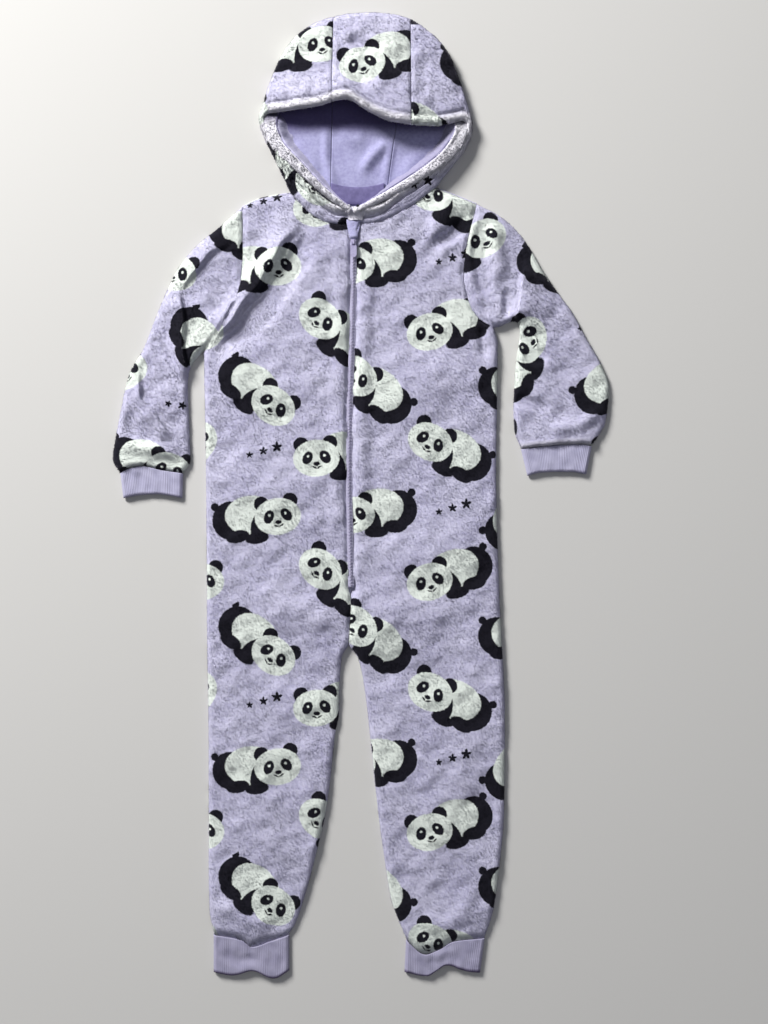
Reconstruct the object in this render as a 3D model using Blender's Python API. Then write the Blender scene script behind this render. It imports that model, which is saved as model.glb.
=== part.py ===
# Child's hooded fleece onesie with a front zip, laid flat on its back with its front up.
# Every size here is in millimetres and becomes metres only when a mesh is made. In the tables x is
# measured from the middle of the front and y from the ends of the ankle cuffs towards the hood.
# Left and right are the wearer's, so the wearer's right side lies at -x. The floor is z = 0.
import bpy
import math
from mathutils import Vector

millimetre = 0.001

# Driving sizes
fleece_wall = 3.0        # plush fleece, ground and pile together
rib_wall = 2.2           # doubled rib knit of the cuffs
seam_gap = 0.3           # left between pieces at every seam
edge_reach = 9.0         # the cloth reaches its full height this far in from a folded side
loft = 9.8               # height of the upper layer where no fold lifts it
lowest_top = 6.8         # an upper layer never sinks below this, clear of the layer under it
rib_loft = 6.9           # height of a cuff, both layers
rib_edge_reach = 5.0
lowest_cuff = 5.3        # a cuff's upper layer never sinks below this
sole_chamfer = 1.2       # the under layer's lower edge draws in this much
fold_fade = 0.3          # share of a fold's length over which each end of it fades out

zip_half_width = 4.0     # the fronts stop this far either side of the zip's middle
zip_bottom = 486.0
zip_top = 946.0
crotch_y = 415.0
crotch_x = -2.0
front_top = 949.0        # the fronts' neck corner at the zip
nape_y = 966.0

box_middle_x = 12.85     # the middle of the laid-out garment, which becomes the origin
box_middle_y = 603.29

# Colours, as linear red, green and blue, with roughness and metallic value
fleece_lilac = (0.52, 0.44, 0.65, 0.95, 0.0)
rib_lilac = (0.47, 0.42, 0.66, 0.90, 0.0)
tape_lilac = (0.44, 0.38, 0.60, 0.80, 0.0)
coil_lilac = (0.50, 0.44, 0.66, 0.45, 0.0)
slider_lilac = (0.46, 0.40, 0.62, 0.35, 0.6)


def table(columns, rows):
    """A short table as one list for each named column."""
    return {name: [row[i] for row in rows] for i, name in enumerate(columns.split())}


def smooth(knots, values, t):
    """A smooth curve through the values given at the knots, without overshoot at flat stretches."""
    last = len(knots) - 1
    i = 0
    while i < last - 1 and t > knots[i + 1]:
        i += 1
    slopes = [(values[j + 1] - values[j]) / (knots[j + 1] - knots[j]) for j in range(last)]

    def tangent(j):
        if j == 0 or j == last:
            return slopes[0] if j == 0 else slopes[-1]
        a, b = slopes[j - 1], slopes[j]
        return 0.0 if a * b <= 0 else 2 * a * b / (a + b)

    width = knots[i + 1] - knots[i]
    f = (t - knots[i]) / width
    return ((1 + 2 * f) * (1 - f) ** 2 * values[i] + f * (1 - f) ** 2 * width * tangent(i)
            + f * f * (3 - 2 * f) * values[i + 1] - f * f * (1 - f) * width * tangent(i + 1))


def at(data, name, t):
    return smooth(data["t"], data[name], t)


def blend(a, b, f):
    return tuple(p + (q - p) * f for p, q in zip(a, b))


def ease(f):
    f = min(1.0, max(0.0, f))
    return f * f * (3 - 2 * f)


def along(points, fractions):
    """Points at the given fractions of the length of a smooth curve through a few points."""
    run = [0.0]
    for a, b in zip(points, points[1:]):
        run.append(run[-1] + math.dist(a, b))
    knots = [r / run[-1] for r in run]
    return [(smooth(knots, [p[0] for p in points], f), smooth(knots, [p[1] for p in points], f))
            for f in fractions]


# Columns across a panel: close together at its folded sides, even between them
side_steps = [0.0, 1.2, 4.2, edge_reach]
middle_columns = 7
column_count = 2 * len(side_steps) + middle_columns


def column_fractions(width):
    near = [d / width for d in side_steps]
    span = 1 - 2 * near[-1]
    middle = [near[-1] + span * (i + 1) / (middle_columns + 1) for i in range(middle_columns)]
    return near + middle + [1 - f for f in reversed(near)]


# The zip's middle line wanders a little from the straight
zip_line = table("t x", [(crotch_y, crotch_x), (486, 1.5), (540, 0.5), (624, -1), (724, 0),
                         (790, 2.5), (880, 4.5), (970, 4.5)])


def zip_x(y):
    return at(zip_line, "x", y)


closed_until = zip_bottom - 6.0      # below this the fronts meet in a plain seam
open_from = zip_bottom + 2.0         # and above this they leave the zip its full width


def opening_half(y):
    """Half the gap between the fronts: the zip's width above its end, a closed seam below."""
    share = (y - closed_until) / (open_from - closed_until)
    return seam_gap / 2 + (zip_half_width - seam_gap / 2) * ease(share)


# Sides of the fronts and backs, from the ankle seam (t = 0) up to the underarm
sides = {
    "right": table("t x y", [(0.00, -171, 55), (0.04, -177, 88), (0.10, -178, 140), (0.30, -178, 283),
                             (0.50, -180, 430), (0.75, -181, 600), (1.00, -184, 784)]),
    "left": table("t x y", [(0.00, 169, 51), (0.04, 179, 80), (0.10, 186, 122), (0.22, 194, 215),
                            (0.38, 195, 326), (0.52, 191, 424), (0.60, 188, 480), (0.80, 184, 640),
                            (0.97, 186, 793), (1.00, 181, 814)])}
# Inner legs, by height
inner_legs = {
    "right": table("t x", [(55, -76), (61, -71), (109, -54), (165, -39), (217, -28), (275, -21),
                           (309, -17), (329, -13), (372, -12), (404, -9), (crotch_y, crotch_x)]),
    "left": table("t x", [(48, 70), (60, 65), (100, 50), (151, 42), (209, 34), (295, 25),
                          (357, 18), (398, 10), (408, 5), (crotch_y, crotch_x)])}
ankle_start = {"right": 55.0, "left": 48.0}
ankle_seams = {"right": [(-171, 55), (-137, 49), (-122, 40), (-100, 47), (-76, 55)],
               "left": [(169, 51), (131, 47), (112, 37), (94, 31), (70, 48)]}
armholes = {"right": [(-184, 784), (-162, 811), (-146, 842), (-136, 879), (-134, 911), (-134, 939),
                      (-135, 967)],
            "left": [(181, 814), (163, 824), (149, 845), (142, 880), (144, 904), (150, 936),
                     (159, 970)]}
shoulders = {"right": [(-135, 967), (-113, 977), (-76, 984)],
             "left": [(159, 970), (140, 978), (109, 990)]}
front_necks = {"right": [(-76, 984), (-62, 968), (-46, 953), (-28, 945), (-11, 943), (0.5, 949)],
               "left": [(109, 990), (94, 978), (75, 964), (54, 953), (31, 945), (16, 944),
                        (8.5, 949)]}
neck_column = 6          # this column of a front ends at the shoulder's neck point

# Sleeves, from the armhole (t = 0) to the cuff seam: the overarm fold and the underarm seam
sleeves = {
    "right": table("t over_x over_y under_x under_y", [
        (0.00, -135, 967, -184, 784), (0.12, -162, 943, -188, 780), (0.24, -194, 916, -194, 773),
        (0.36, -216, 889, -199, 765), (0.48, -232, 856, -202, 755), (0.60, -247, 820, -203, 736),
        (0.70, -259, 789, -202, 716), (0.80, -277, 757, -201, 695), (0.90, -290, 699, -200, 667),
        (0.96, -298, 650, -199, 648), (1.00, -288, 632, -209, 632)]),
    "left": table("t over_x over_y under_x under_y", [
        (0.00, 159, 970, 181, 814), (0.10, 181, 959, 189, 816), (0.20, 204, 942, 198, 820),
        (0.30, 225, 916, 205, 822), (0.40, 241, 888, 211, 818), (0.50, 260, 860, 212, 806),
        (0.60, 279, 834, 210, 791), (0.70, 297, 801, 207, 770), (0.80, 315, 769, 205, 739),
        (0.88, 325, 739, 204, 714), (0.95, 321, 697, 205, 686), (1.00, 303, 666, 214, 662)])}
sleeve_rows = 17
cuff_seam_dips = {"right": [(-288, 632), (-276, 638), (-261, 641), (-236, 636), (-209, 632)],
                  "left": [(303, 666), (284, 668), (262, 667), (240, 665), (214, 662)]}

# Cuffs: the four ends of each and the curve of its open end
cuffs = {
    "wrist_right": {"seam": cuff_seam_dips["right"],
                    "end": [(-284, 601), (-262, 605), (-243, 606), (-225, 604), (-210, 601)]},
    "wrist_left": {"seam": cuff_seam_dips["left"],
                   "end": [(296, 631), (276, 634), (258, 634), (238, 633), (222, 629)]},
    "ankle_right": {"seam": ankle_seams["right"],
                    "end": [(-171, 8), (-147, 4), (-122, 10), (-96, 0), (-76, 10)]},
    "ankle_left": {"seam": ankle_seams["left"],
                   "end": [(163, 7), (146, 9), (122, 17), (95, 3), (68, 8)]}}
cuff_rows = 5

# Folds of the upper layer. Each runs along a few points, rises (or sinks) by so much, and fades
# out over its own width on the left and on the right of the way it runs.
folds = table("path left right rise", [
    # right arm and chest: the valley from the neck to the underarm, with a ridge on either side
    ([(-52, 950), (-82, 905), (-108, 852), (-148, 813), (-180, 790)], 15, 13, -5.0),
    ([(-40, 930), (-66, 880), (-92, 838), (-128, 800), (-160, 775)], 26, 18, 5.0),
    ([(-88, 960), (-116, 905), (-138, 860), (-160, 828), (-186, 800)], 17, 20, 6.0),
    ([(-138, 932), (-172, 908), (-200, 884), (-216, 858)], 7, 30, 6.5),
    ([(-222, 884), (-214, 850), (-210, 815), (-206, 780)], 22, 6, 5.0),
    ([(-178, 880), (-168, 866), (-164, 850)], 9, 9, -3.5),
    ([(-264, 762), (-260, 728), (-240, 698), (-216, 672)], 10, 22, 5.5),
    ([(-276, 712), (-266, 684), (-252, 662)], 12, 14, -3.0),
    ([(-292, 668), (-262, 664), (-232, 660), (-205, 656)], 14, 12, 3.0),
    # left arm and chest
    ([(146, 968), (133, 930), (128, 892)], 16, 12, -3.5),
    ([(166, 952), (160, 920), (162, 884), (172, 846)], 16, 12, -4.0),
    ([(178, 944), (182, 905), (186, 870)], 18, 14, 4.5),
    ([(120, 978), (112, 940), (108, 900)], 18, 18, 4.0),
    ([(223, 905), (215, 868), (211, 838), (208, 808)], 26, 5, 8.0),
    ([(196, 866), (198, 842), (196, 824)], 10, 10, -3.0),
    ([(205, 752), (226, 742), (244, 728)], 10, 16, -3.5),
    ([(222, 790), (240, 764), (262, 742)], 14, 12, -2.5),
    ([(318, 716), (286, 694), (244, 684)], 14, 14, 3.0),
    # chest and body
    ([(-170, 770), (-110, 742), (-30, 735)], 45, 55, 2.4),
    ([(165, 780), (110, 745), (40, 738)], 45, 55, 2.2),
    ([(-165, 650), (-100, 612), (-25, 600)], 50, 45, 1.8),
    ([(170, 570), (110, 535), (30, 520)], 50, 45, 2.0),
    ([(-12, 940), (-14, 800), (-18, 640), (-14, 500)], 16, 14, 1.6),
    ([(22, 940), (20, 800), (14, 640), (18, 500)], 14, 16, 1.8),
    # hips, crotch and legs
    ([(2, 498), (5, 486), (7, 474)], 8, 10, -2.5),
    ([(-8, 436), (-60, 462), (-140, 474)], 40, 40, 2.6),
    ([(8, 432), (70, 456), (150, 464)], 40, 40, 2.4),
    ([(-20, 396), (-76, 384), (-140, 390)], 36, 36, -2.0),
    ([(20, 390), (80, 380), (150, 387)], 36, 36, -2.0),
    ([(-150, 330), (-112, 240), (-100, 130)], 45, 40, 2.0),
    ([(155, 320), (122, 220), (108, 120)], 40, 45, 2.0),
    ([(-166, 100), (-126, 78), (-92, 68)], 24, 22, 2.4),
    ([(164, 96), (124, 74), (84, 64)], 22, 24, 2.4),
])
# The cloth dips into its seams at the cuffs and the neck
seam_dips = table("path left right rise", [
    (ankle_seams["right"], 7, 7, -2.6), (ankle_seams["left"], 7, 7, -2.6),
    (cuff_seam_dips["right"], 6, 6, -2.6), (cuff_seam_dips["left"], 6, 6, -2.6),
    (armholes["right"], 5, 5, -1.2), (armholes["left"], 5, 5, -1.2)])
# Cuffs: the rolls under the ankle seams and the arches of the open ends
cuff_folds = table("path left right rise", [
    ([(80, 32), (106, 29), (132, 38)], 7, 10, 1.4),
    ([(104, 6), (122, 14), (142, 10)], 18, 24, 1.4),
    ([(-164, 36), (-138, 22), (-110, 27)], 10, 10, -1.6),
    ([(-146, 14), (-121, 12), (-96, 10)], 14, 22, 1.4),
    ([(-268, 636), (-258, 618), (-248, 604)], 10, 10, -1.4)])


def nearest(point, path):
    """Distance to a path, which side of it the point is on, the way along it and away from it."""
    best = None
    total = sum(math.dist(a, b) for a, b in zip(path, path[1:]))
    run = 0.0
    for a, b in zip(path, path[1:]):
        length = math.dist(a, b)
        ux, uy = (b[0] - a[0]) / length, (b[1] - a[1]) / length
        f = min(length, max(0.0, (point[0] - a[0]) * ux + (point[1] - a[1]) * uy))
        dx, dy = point[0] - a[0] - ux * f, point[1] - a[1] - uy * f
        distance = math.hypot(dx, dy)
        if best is None or distance < best[0]:
            away = (dx / distance, dy / distance) if distance > 1e-6 else None
            best = (distance, ux * dy - uy * dx, (run + f) / total, away)
        run += length
    return best


def fold_height(point, rows):
    """The sum of what each fold adds at a point."""
    height = 0.0
    for path, left, right, rise in zip(rows["path"], rows["left"], rows["right"], rows["rise"]):
        distance, side, way, _ = nearest(point, path)
        width = left if side > 0 else right
        if distance < width:
            height += rise * ease(1 - distance / width) * ease(min(way, 1 - way) / fold_fade + 0.1)
    return height


def undulation(x, y):
    """Slow, shallow waves that no laid cloth is without."""
    return (0.7 * math.sin(x / 31 + y / 57) + 0.5 * math.sin(x / 47 - y / 36 + 1.3)
            + 0.4 * math.sin(x / 19 + y / 83 + 0.4))


def upper_height(x, y):
    """Height of the fleece upper layer above the floor, away from its folded sides."""
    height = loft + undulation(x, y) + fold_height((x, y), folds)
    return max(lowest_top, height + fold_height((x, y), seam_dips))


def cuff_height(x, y):
    return max(lowest_cuff, rib_loft + fold_height((x, y), cuff_folds))


def edge_slope(point, edges, reach):
    """How near the folded side a point is: the cosine and sine of the turn, and the way in."""
    distance, way_in = reach, (0.0, 0.0)
    for edge in edges:
        found = nearest(point, edge)
        if found[0] < distance:
            distance, way_in = found[0], found[3]
    cosine = 1 - distance / reach
    return cosine, math.sqrt(max(0.0, 1 - cosine * cosine)), way_in


def inner_shift(way_in, way_out, seam, amount):
    """How far the inner point lies from the outer one in plan: straight in, or along a seam."""
    if way_in is None:
        way_in = (-way_out[0], -way_out[1])
    if seam is not None:
        share = way_in[0] * seam[0] + way_in[1] * seam[1]
        way_in = (seam[0] * share, seam[1] * share)
    return way_in[0] * amount, way_in[1] * amount


def layer_points(point, way_out, seam, cloth):
    """The outer and the inner point of an upper layer over one point of the plan."""
    x, y = point
    cosine, sine, way_in = edge_slope(point, cloth["edges"], cloth["reach"])
    wall, foot = cloth["wall"], cloth["wall"] + seam_gap
    height = cloth["height"](x, y)
    dx, dy = inner_shift(way_in, way_out, seam, wall * cosine)
    return (x, y, foot + (height - foot) * sine), (x + dx, y + dy, foot + (height - foot - wall) * sine)


def under_points(point, way_out, seam, cloth, at_side):
    """The outer and the inner point of an under layer, which lies flat on the floor."""
    x, y = point
    cosine, _, way_in = edge_slope(point, cloth["edges"], cloth["reach"])
    wall = cloth["wall"]
    dx, dy = inner_shift(way_in, way_out, seam, wall * cosine)
    lift = 0.3 * wall if at_side else 0.0
    return (x, y, lift), (x + dx, y + dy, wall + 0.1 * lift)


# Plans: the rows of points, seen from above, that a piece's cloth passes over
def width_of(row_ends):
    return math.dist(row_ends[0], row_ends[1])


def straight_row(row_ends):
    return [blend(row_ends[0], row_ends[1], f) for f in column_fractions(width_of(row_ends))]


def bend_row(row, end_row, amount):
    """Shift a row towards the shape of an end row, keeping its own two ends."""
    chord = straight_row((end_row[0], end_row[-1]))
    return [(x + (end[0] - flat[0]) * amount, y + (end[1] - flat[1]) * amount)
            for (x, y), end, flat in zip(row, end_row, chord)]


def armhole_points(side):
    path = armholes[side]
    length = sum(math.dist(a, b) for a, b in zip(path, path[1:]))
    return along(path, column_fractions(length))


def top_row(side):
    """A front's upper end: along the shoulder to the neck point, then round the neck."""
    shoulder = along(shoulders[side], [i / neck_column for i in range(neck_column + 1)])
    rest = column_count - 1 - neck_column
    neck = along(front_necks[side], [i / rest for i in range(rest + 1)])
    return shoulder + neck[1:]


def seam_row(path):
    return along(path, column_fractions(math.dist(path[0], path[-1])))


body_steps = ([0.0, 0.008, 0.02] + [0.02 + 0.038 * i for i in range(1, 13)]
              + [0.52, 0.55, 0.58, 0.615, 0.65, 0.69, 0.73, 0.77, 0.81, 0.85, 0.89, 0.93, 0.97])


def step_at(side, y):
    """The share of the way up a side at which it reaches a height."""
    low, high = 0.0, 1.0
    for _ in range(40):
        middle = (low + high) / 2
        if at(sides[side], "y", middle) < y:
            low = middle
        else:
            high = middle
    return low


def steps_up(side):
    """The body's steps, moved so that rows fall on the crotch and on both ends of the zip's gap."""
    steps = list(body_steps)
    for y in (crotch_y, closed_until, open_from):
        wanted = step_at(side, y)
        taken = [step_at(side, other) for other in (crotch_y, closed_until, open_from) if other < y]
        free = [i for i in range(3, len(steps) - 3) if steps[i] not in taken]
        steps[min(free, key=lambda i: abs(steps[i] - wanted))] = wanted
    return sorted(steps)


def centre_point(side, y):
    """The edge of a front on the middle line: the inner leg below the crotch, the zip above."""
    sign = -1 if side == "right" else 1
    if y < crotch_y:
        return (at(inner_legs[side], "x", y), y)
    return (zip_x(y) + sign * opening_half(y), y)


def front_rows(side):
    rows = []
    start = ankle_start[side]
    ankle = seam_row(ankle_seams[side])
    side_top = at(sides[side], "y", 1.0)
    for t in steps_up(side):
        outer = (at(sides[side], "x", t), at(sides[side], "y", t))
        y = start + (side_top - start) * (outer[1] - at(sides[side], "y", 0.0)) / (
            side_top - at(sides[side], "y", 0.0))
        row = straight_row((outer, centre_point(side, y)))
        rows.append(ankle if t == 0 else bend_row(row, ankle, max(0.0, 1 - t / 0.06) ** 1.5))
    top = top_row(side)
    arm = armhole_points(side)
    for outer in arm[:-1]:
        f = (outer[1] - side_top) / (arm[-1][1] - side_top)
        row = straight_row((outer, centre_point(side, side_top + (front_top - side_top) * f)))
        rows.append(bend_row(row, top, f ** 2.2))
    return rows + [top]


def sleeve_plan(side):
    rows = []
    data = sleeves[side]
    arm = list(reversed(armhole_points(side)))
    cuff = seam_row(cuff_seam_dips[side])
    for i in range(sleeve_rows):
        t = i / (sleeve_rows - 1)
        if i >= sleeve_rows - 3:
            t = [0.93, 0.965, 1.0][i - sleeve_rows + 3]
        over = (at(data, "over_x", t), at(data, "over_y", t))
        under = (at(data, "under_x", t), at(data, "under_y", t))
        row = straight_row((over, under))
        row = bend_row(row, arm, max(0.0, 1 - t / 0.5) ** 1.6)
        row = bend_row(row, cuff, max(0.0, (t - 0.7) / 0.3) ** 2)
        rows.append(arm if i == 0 else cuff if i == sleeve_rows - 1 else row)
    return rows


def cuff_plan(name):
    seam, end = seam_row(cuffs[name]["seam"]), seam_row(cuffs[name]["end"])
    return [[blend(a, b, i / (cuff_rows - 1)) for a, b in zip(seam, end)] for i in range(cuff_rows)]


def pulled_in(rows, amount):
    """Draw a plan's first and last rows in, so that pieces stay apart at a seam."""
    rows = [list(row) for row in rows]
    for end, next_row in ((0, 1), (-1, -2)):
        for i, point in enumerate(rows[end]):
            other = rows[next_row][i]
            length = math.dist(point, other)
            rows[end][i] = blend(point, other, min(0.5, amount / length))
    return rows


def pull_columns(rows, first_row, amount):
    """Draw the side of a plan in from a given row upwards, where it is a seam and not a fold."""
    for row in rows[first_row:]:
        row[0] = blend(row[0], row[1], min(0.5, amount / math.dist(row[0], row[1])))
    return rows


# The folded sides that the fleece rounds over, all of them, so that its pieces agree at seams
def outline_of_side(side):
    data = sides[side]
    edge = [(at(data, "x", t), at(data, "y", t)) for t in steps_up(side)] + [(data["x"][-1], data["y"][-1])]
    steps = 24
    start = ankle_start[side]
    leg = [centre_point(side, start + (crotch_y - start) * i / steps - 1e-6) for i in range(steps + 1)]
    arm = sleeves[side]
    over = [(at(arm, "over_x", i / steps), at(arm, "over_y", i / steps)) for i in range(steps + 1)]
    under = [(at(arm, "under_x", i / steps), at(arm, "under_y", i / steps)) for i in range(steps + 1)]
    shoulder = along(shoulders[side], [i / 6 for i in range(7)])
    return [edge, leg, over, under, shoulder]


fleece = {"edges": outline_of_side("right") + outline_of_side("left"), "reach": edge_reach,
          "wall": fleece_wall, "height": upper_height}


def rib(name):
    plan = cuff_plan(name)
    return {"edges": [[row[0] for row in plan], [row[-1] for row in plan]], "reach": rib_edge_reach,
            "wall": rib_wall, "height": cuff_height}


# Meshes
def material(name, colour):
    made = bpy.data.materials.get(name) or bpy.data.materials.new(name)
    made.use_nodes = True
    shader = made.node_tree.nodes["Principled BSDF"]
    shader.inputs["Base Color"].default_value = (*colour[:3], 1)
    shader.inputs["Roughness"].default_value = colour[3]
    shader.inputs["Metallic"].default_value = colour[4]
    return made


def add_object(name, points, faces, finish, colour):
    """A named object from points in millimetres, with its origin in the middle of the garment."""
    mesh = bpy.data.meshes.new(name)
    placed = [((x - box_middle_x) * millimetre, (y - box_middle_y) * millimetre, z * millimetre)
              for x, y, z in points]
    mesh.from_pydata(placed, [], faces)
    mesh.update()
    mesh.shade_smooth()
    mesh.materials.append(material(finish, colour))
    made = bpy.data.objects.new(name, mesh)
    bpy.context.scene.collection.objects.link(made)
    made.parent = garment
    return made


def turned_out(points, faces):
    """Turn every face round if the solid they close is inside out."""
    volume = 0.0
    for face in faces:
        a = Vector(points[face[0]])
        for i in range(1, len(face) - 1):
            volume += a.dot(Vector(points[face[i]]).cross(Vector(points[face[i + 1]])))
    return faces if volume > 0 else [tuple(reversed(face)) for face in faces]


def sheet_solid(outer, inner):
    """A closed wall between two grids of points: both faces and the four edges."""
    rows, columns = len(outer), len(outer[0])
    points = [p for row in outer for p in row] + [p for row in inner for p in row]
    offset = rows * columns

    def index(i, j, layer=0):
        return i * columns + j + layer * offset

    faces = []
    for i in range(rows - 1):
        for j in range(columns - 1):
            faces.append((index(i, j), index(i, j + 1), index(i + 1, j + 1), index(i + 1, j)))
            faces.append((index(i + 1, j, 1), index(i + 1, j + 1, 1), index(i, j + 1, 1), index(i, j, 1)))
    rim = ([(0, j) for j in range(columns)] + [(i, columns - 1) for i in range(1, rows)]
           + [(rows - 1, j) for j in range(columns - 2, -1, -1)] + [(i, 0) for i in range(rows - 2, 0, -1)])
    for a, b in zip(rim, rim[1:] + rim[:1]):
        faces.append((index(*b), index(*a), index(*a, 1), index(*b, 1)))
    return points, turned_out(points, faces)


def tube_solid(outer, inner):
    """A closed wall between two grids whose rows close on themselves, open at both ends."""
    rows, columns = len(outer), len(outer[0])
    points = [p for row in outer for p in row] + [p for row in inner for p in row]
    offset = rows * columns

    def index(i, j, layer=0):
        return i * columns + j % columns + layer * offset

    faces = []
    for j in range(columns):
        for i in range(rows - 1):
            faces.append((index(i, j), index(i, j + 1), index(i + 1, j + 1), index(i + 1, j)))
            faces.append((index(i + 1, j, 1), index(i + 1, j + 1, 1), index(i, j + 1, 1), index(i, j, 1)))
        faces.append((index(0, j + 1), index(0, j), index(0, j, 1), index(0, j + 1, 1)))
        last = rows - 1
        faces.append((index(last, j), index(last, j + 1), index(last, j + 1, 1), index(last, j, 1)))
    return points, turned_out(points, faces)


def ways_out(row):
    """For a row of a plan, the direction out of the cloth at its two ends."""
    length = math.dist(row[0], row[1])
    first = ((row[0][0] - row[1][0]) / length, (row[0][1] - row[1][1]) / length)
    length = math.dist(row[-1], row[-2])
    last = ((row[-1][0] - row[-2][0]) / length, (row[-1][1] - row[-2][1]) / length)
    return first, last


def direction(a, b):
    length = math.dist(a, b)
    return (b[0] - a[0]) / length, (b[1] - a[1]) / length


def seam_way(rows, i, j, seam_from):
    """The way a seam runs at a point of a plan, or None where the point is on no seam."""
    if i in (0, len(rows) - 1):
        return direction(rows[i][max(0, j - 1)], rows[i][min(len(rows[i]) - 1, j + 1)])
    if j == 0 and seam_from is not None and i > seam_from:
        return direction(rows[i - 1][j], rows[i + 1][j])
    return None


def upper_layer(rows, cloth, seam_from=None):
    """Outer and inner points of an upper layer, whose first column is a seam from one row up."""
    outer, inner = [], []
    for i, row in enumerate(rows):
        first, last = ways_out(row)
        pairs = [layer_points(p, first if j < len(row) / 2 else last, seam_way(rows, i, j, seam_from),
                              cloth) for j, p in enumerate(row)]
        outer.append([pair[0] for pair in pairs])
        inner.append([pair[1] for pair in pairs])
    return outer, inner


# Columns of a tube's under layer, from its far side back to its near side
under_columns = [column_count - 2, column_count - 3, 9, 5, 2, 1]


def tube_layers(rows, cloth):
    outer, inner = upper_layer(rows, cloth)
    for i, row in enumerate(rows):
        first, last = ways_out(row)
        for j in under_columns:
            way = first if j < len(row) / 2 else last
            at_side = j in (1, column_count - 2)
            pair = under_points(row[j], way, seam_way(rows, i, j, None), cloth, at_side)
            outer[i].append(pair[0])
            inner[i].append(pair[1])
    return outer, inner


def make_front(side):
    underarm = len(body_steps)
    rows = pull_columns(pulled_in(front_rows(side), seam_gap), underarm + 1, seam_gap)
    points, faces = sheet_solid(*upper_layer(rows, fleece, underarm))
    return add_object("front_" + side, points, faces, "plush fleece", fleece_lilac)


def make_sleeve(side):
    points, faces = tube_solid(*tube_layers(pulled_in(sleeve_plan(side), seam_gap), fleece))
    return add_object("sleeve_" + side, points, faces, "plush fleece", fleece_lilac)


def make_cuff(name):
    rows = pulled_in(cuff_plan(name), seam_gap)
    points, faces = tube_solid(*tube_layers(rows, rib(name)))
    return add_object("cuff_" + name, points, faces, "rib knit", rib_lilac)


# The hood. A section runs from the rim of its mouth over the cloth to the fold that lies furthest
# out, turns under there and comes back along the floor to the neck seam. The first sections of a
# side panel start at its seam with the centre strip and the last stand over the front neck seam.
hood_columns = "t rim_x rim_y rim_z fold_x fold_y fold_z neck_x neck_y"
hood_sides = {
    "right": table(hood_columns, [
        (0.00, -23, 1090, 28, -21, 1201, 17, -25, 970), (0.14, -40, 1086, 25, -42, 1194, 16, -30, 971),
        (0.28, -59, 1084, 21, -64, 1180, 15, -36, 972), (0.42, -78, 1082, 18, -82, 1159, 14, -44, 974),
        (0.54, -94, 1081, 16, -96, 1129, 13, -51, 975), (0.64, -103, 1080, 14, -106, 1101, 12, -57, 976),
        (0.72, -106, 1074, 13, -113, 1074, 12, -62, 977), (0.80, -101, 1056, 14, -107, 1052, 11, -67, 979),
        (0.90, -88, 1034, 16, -95, 1027, 11, -71, 981), (1.00, -73, 1015, 18, -82, 1000, 11, -74, 984)]),
    "left": table(hood_columns, [
        (0.00, 77, 1062, 28, 76, 1199, 17, 45, 970), (0.14, 90, 1062, 26, 94, 1186, 16, 51, 971),
        (0.28, 104, 1062, 23, 110, 1173, 15, 58, 973), (0.42, 118, 1065, 20, 124, 1154, 14, 65, 976),
        (0.54, 130, 1068, 17, 134, 1130, 13, 73, 979), (0.64, 140, 1071, 15, 144, 1101, 12, 80, 981),
        (0.72, 145, 1066, 13, 153, 1065, 12, 86, 984), (0.80, 138, 1046, 14, 146, 1041, 11, 93, 987),
        (0.90, 124, 1030, 16, 131, 1020, 11, 100, 989), (1.00, 107, 1015, 18, 115, 1000, 11, 107, 990)])}
hood_centre = table(hood_columns, [
    (0.00, -22, 1091, 28, -20, 1201, 17, -24, 970), (0.25, -3, 1092, 31, 1, 1205, 18, -8, 968),
    (0.50, 24, 1077, 31, 30, 1206, 18, 10, 967), (0.75, 50, 1066, 30, 55, 1204, 18, 28, 968),
    (1.00, 76, 1062, 28, 75, 1199, 17, 44, 970)])
# Rim of the mouth where it stands over the front neck seam, from the neck point to the zip
neck_rims = {"right": [(-73, 1015), (-52, 995), (-31, 974), (-14, 966), (0, 967)],
             "left": [(107, 1015), (85, 1001), (61, 985), (39, 968), (22, 964), (9, 967)]}
neck_rim_height = 17.0
side_stations = 15
centre_stations = 9
hem_width = 18.0
hem_extra = 2.2          # the turned hem is this much thicker than the cloth
turn_angles = [90, 62, 34, 0]
neck_allowance = 11.0    # the seam's allowance lies turned in under the front of the hood


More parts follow.
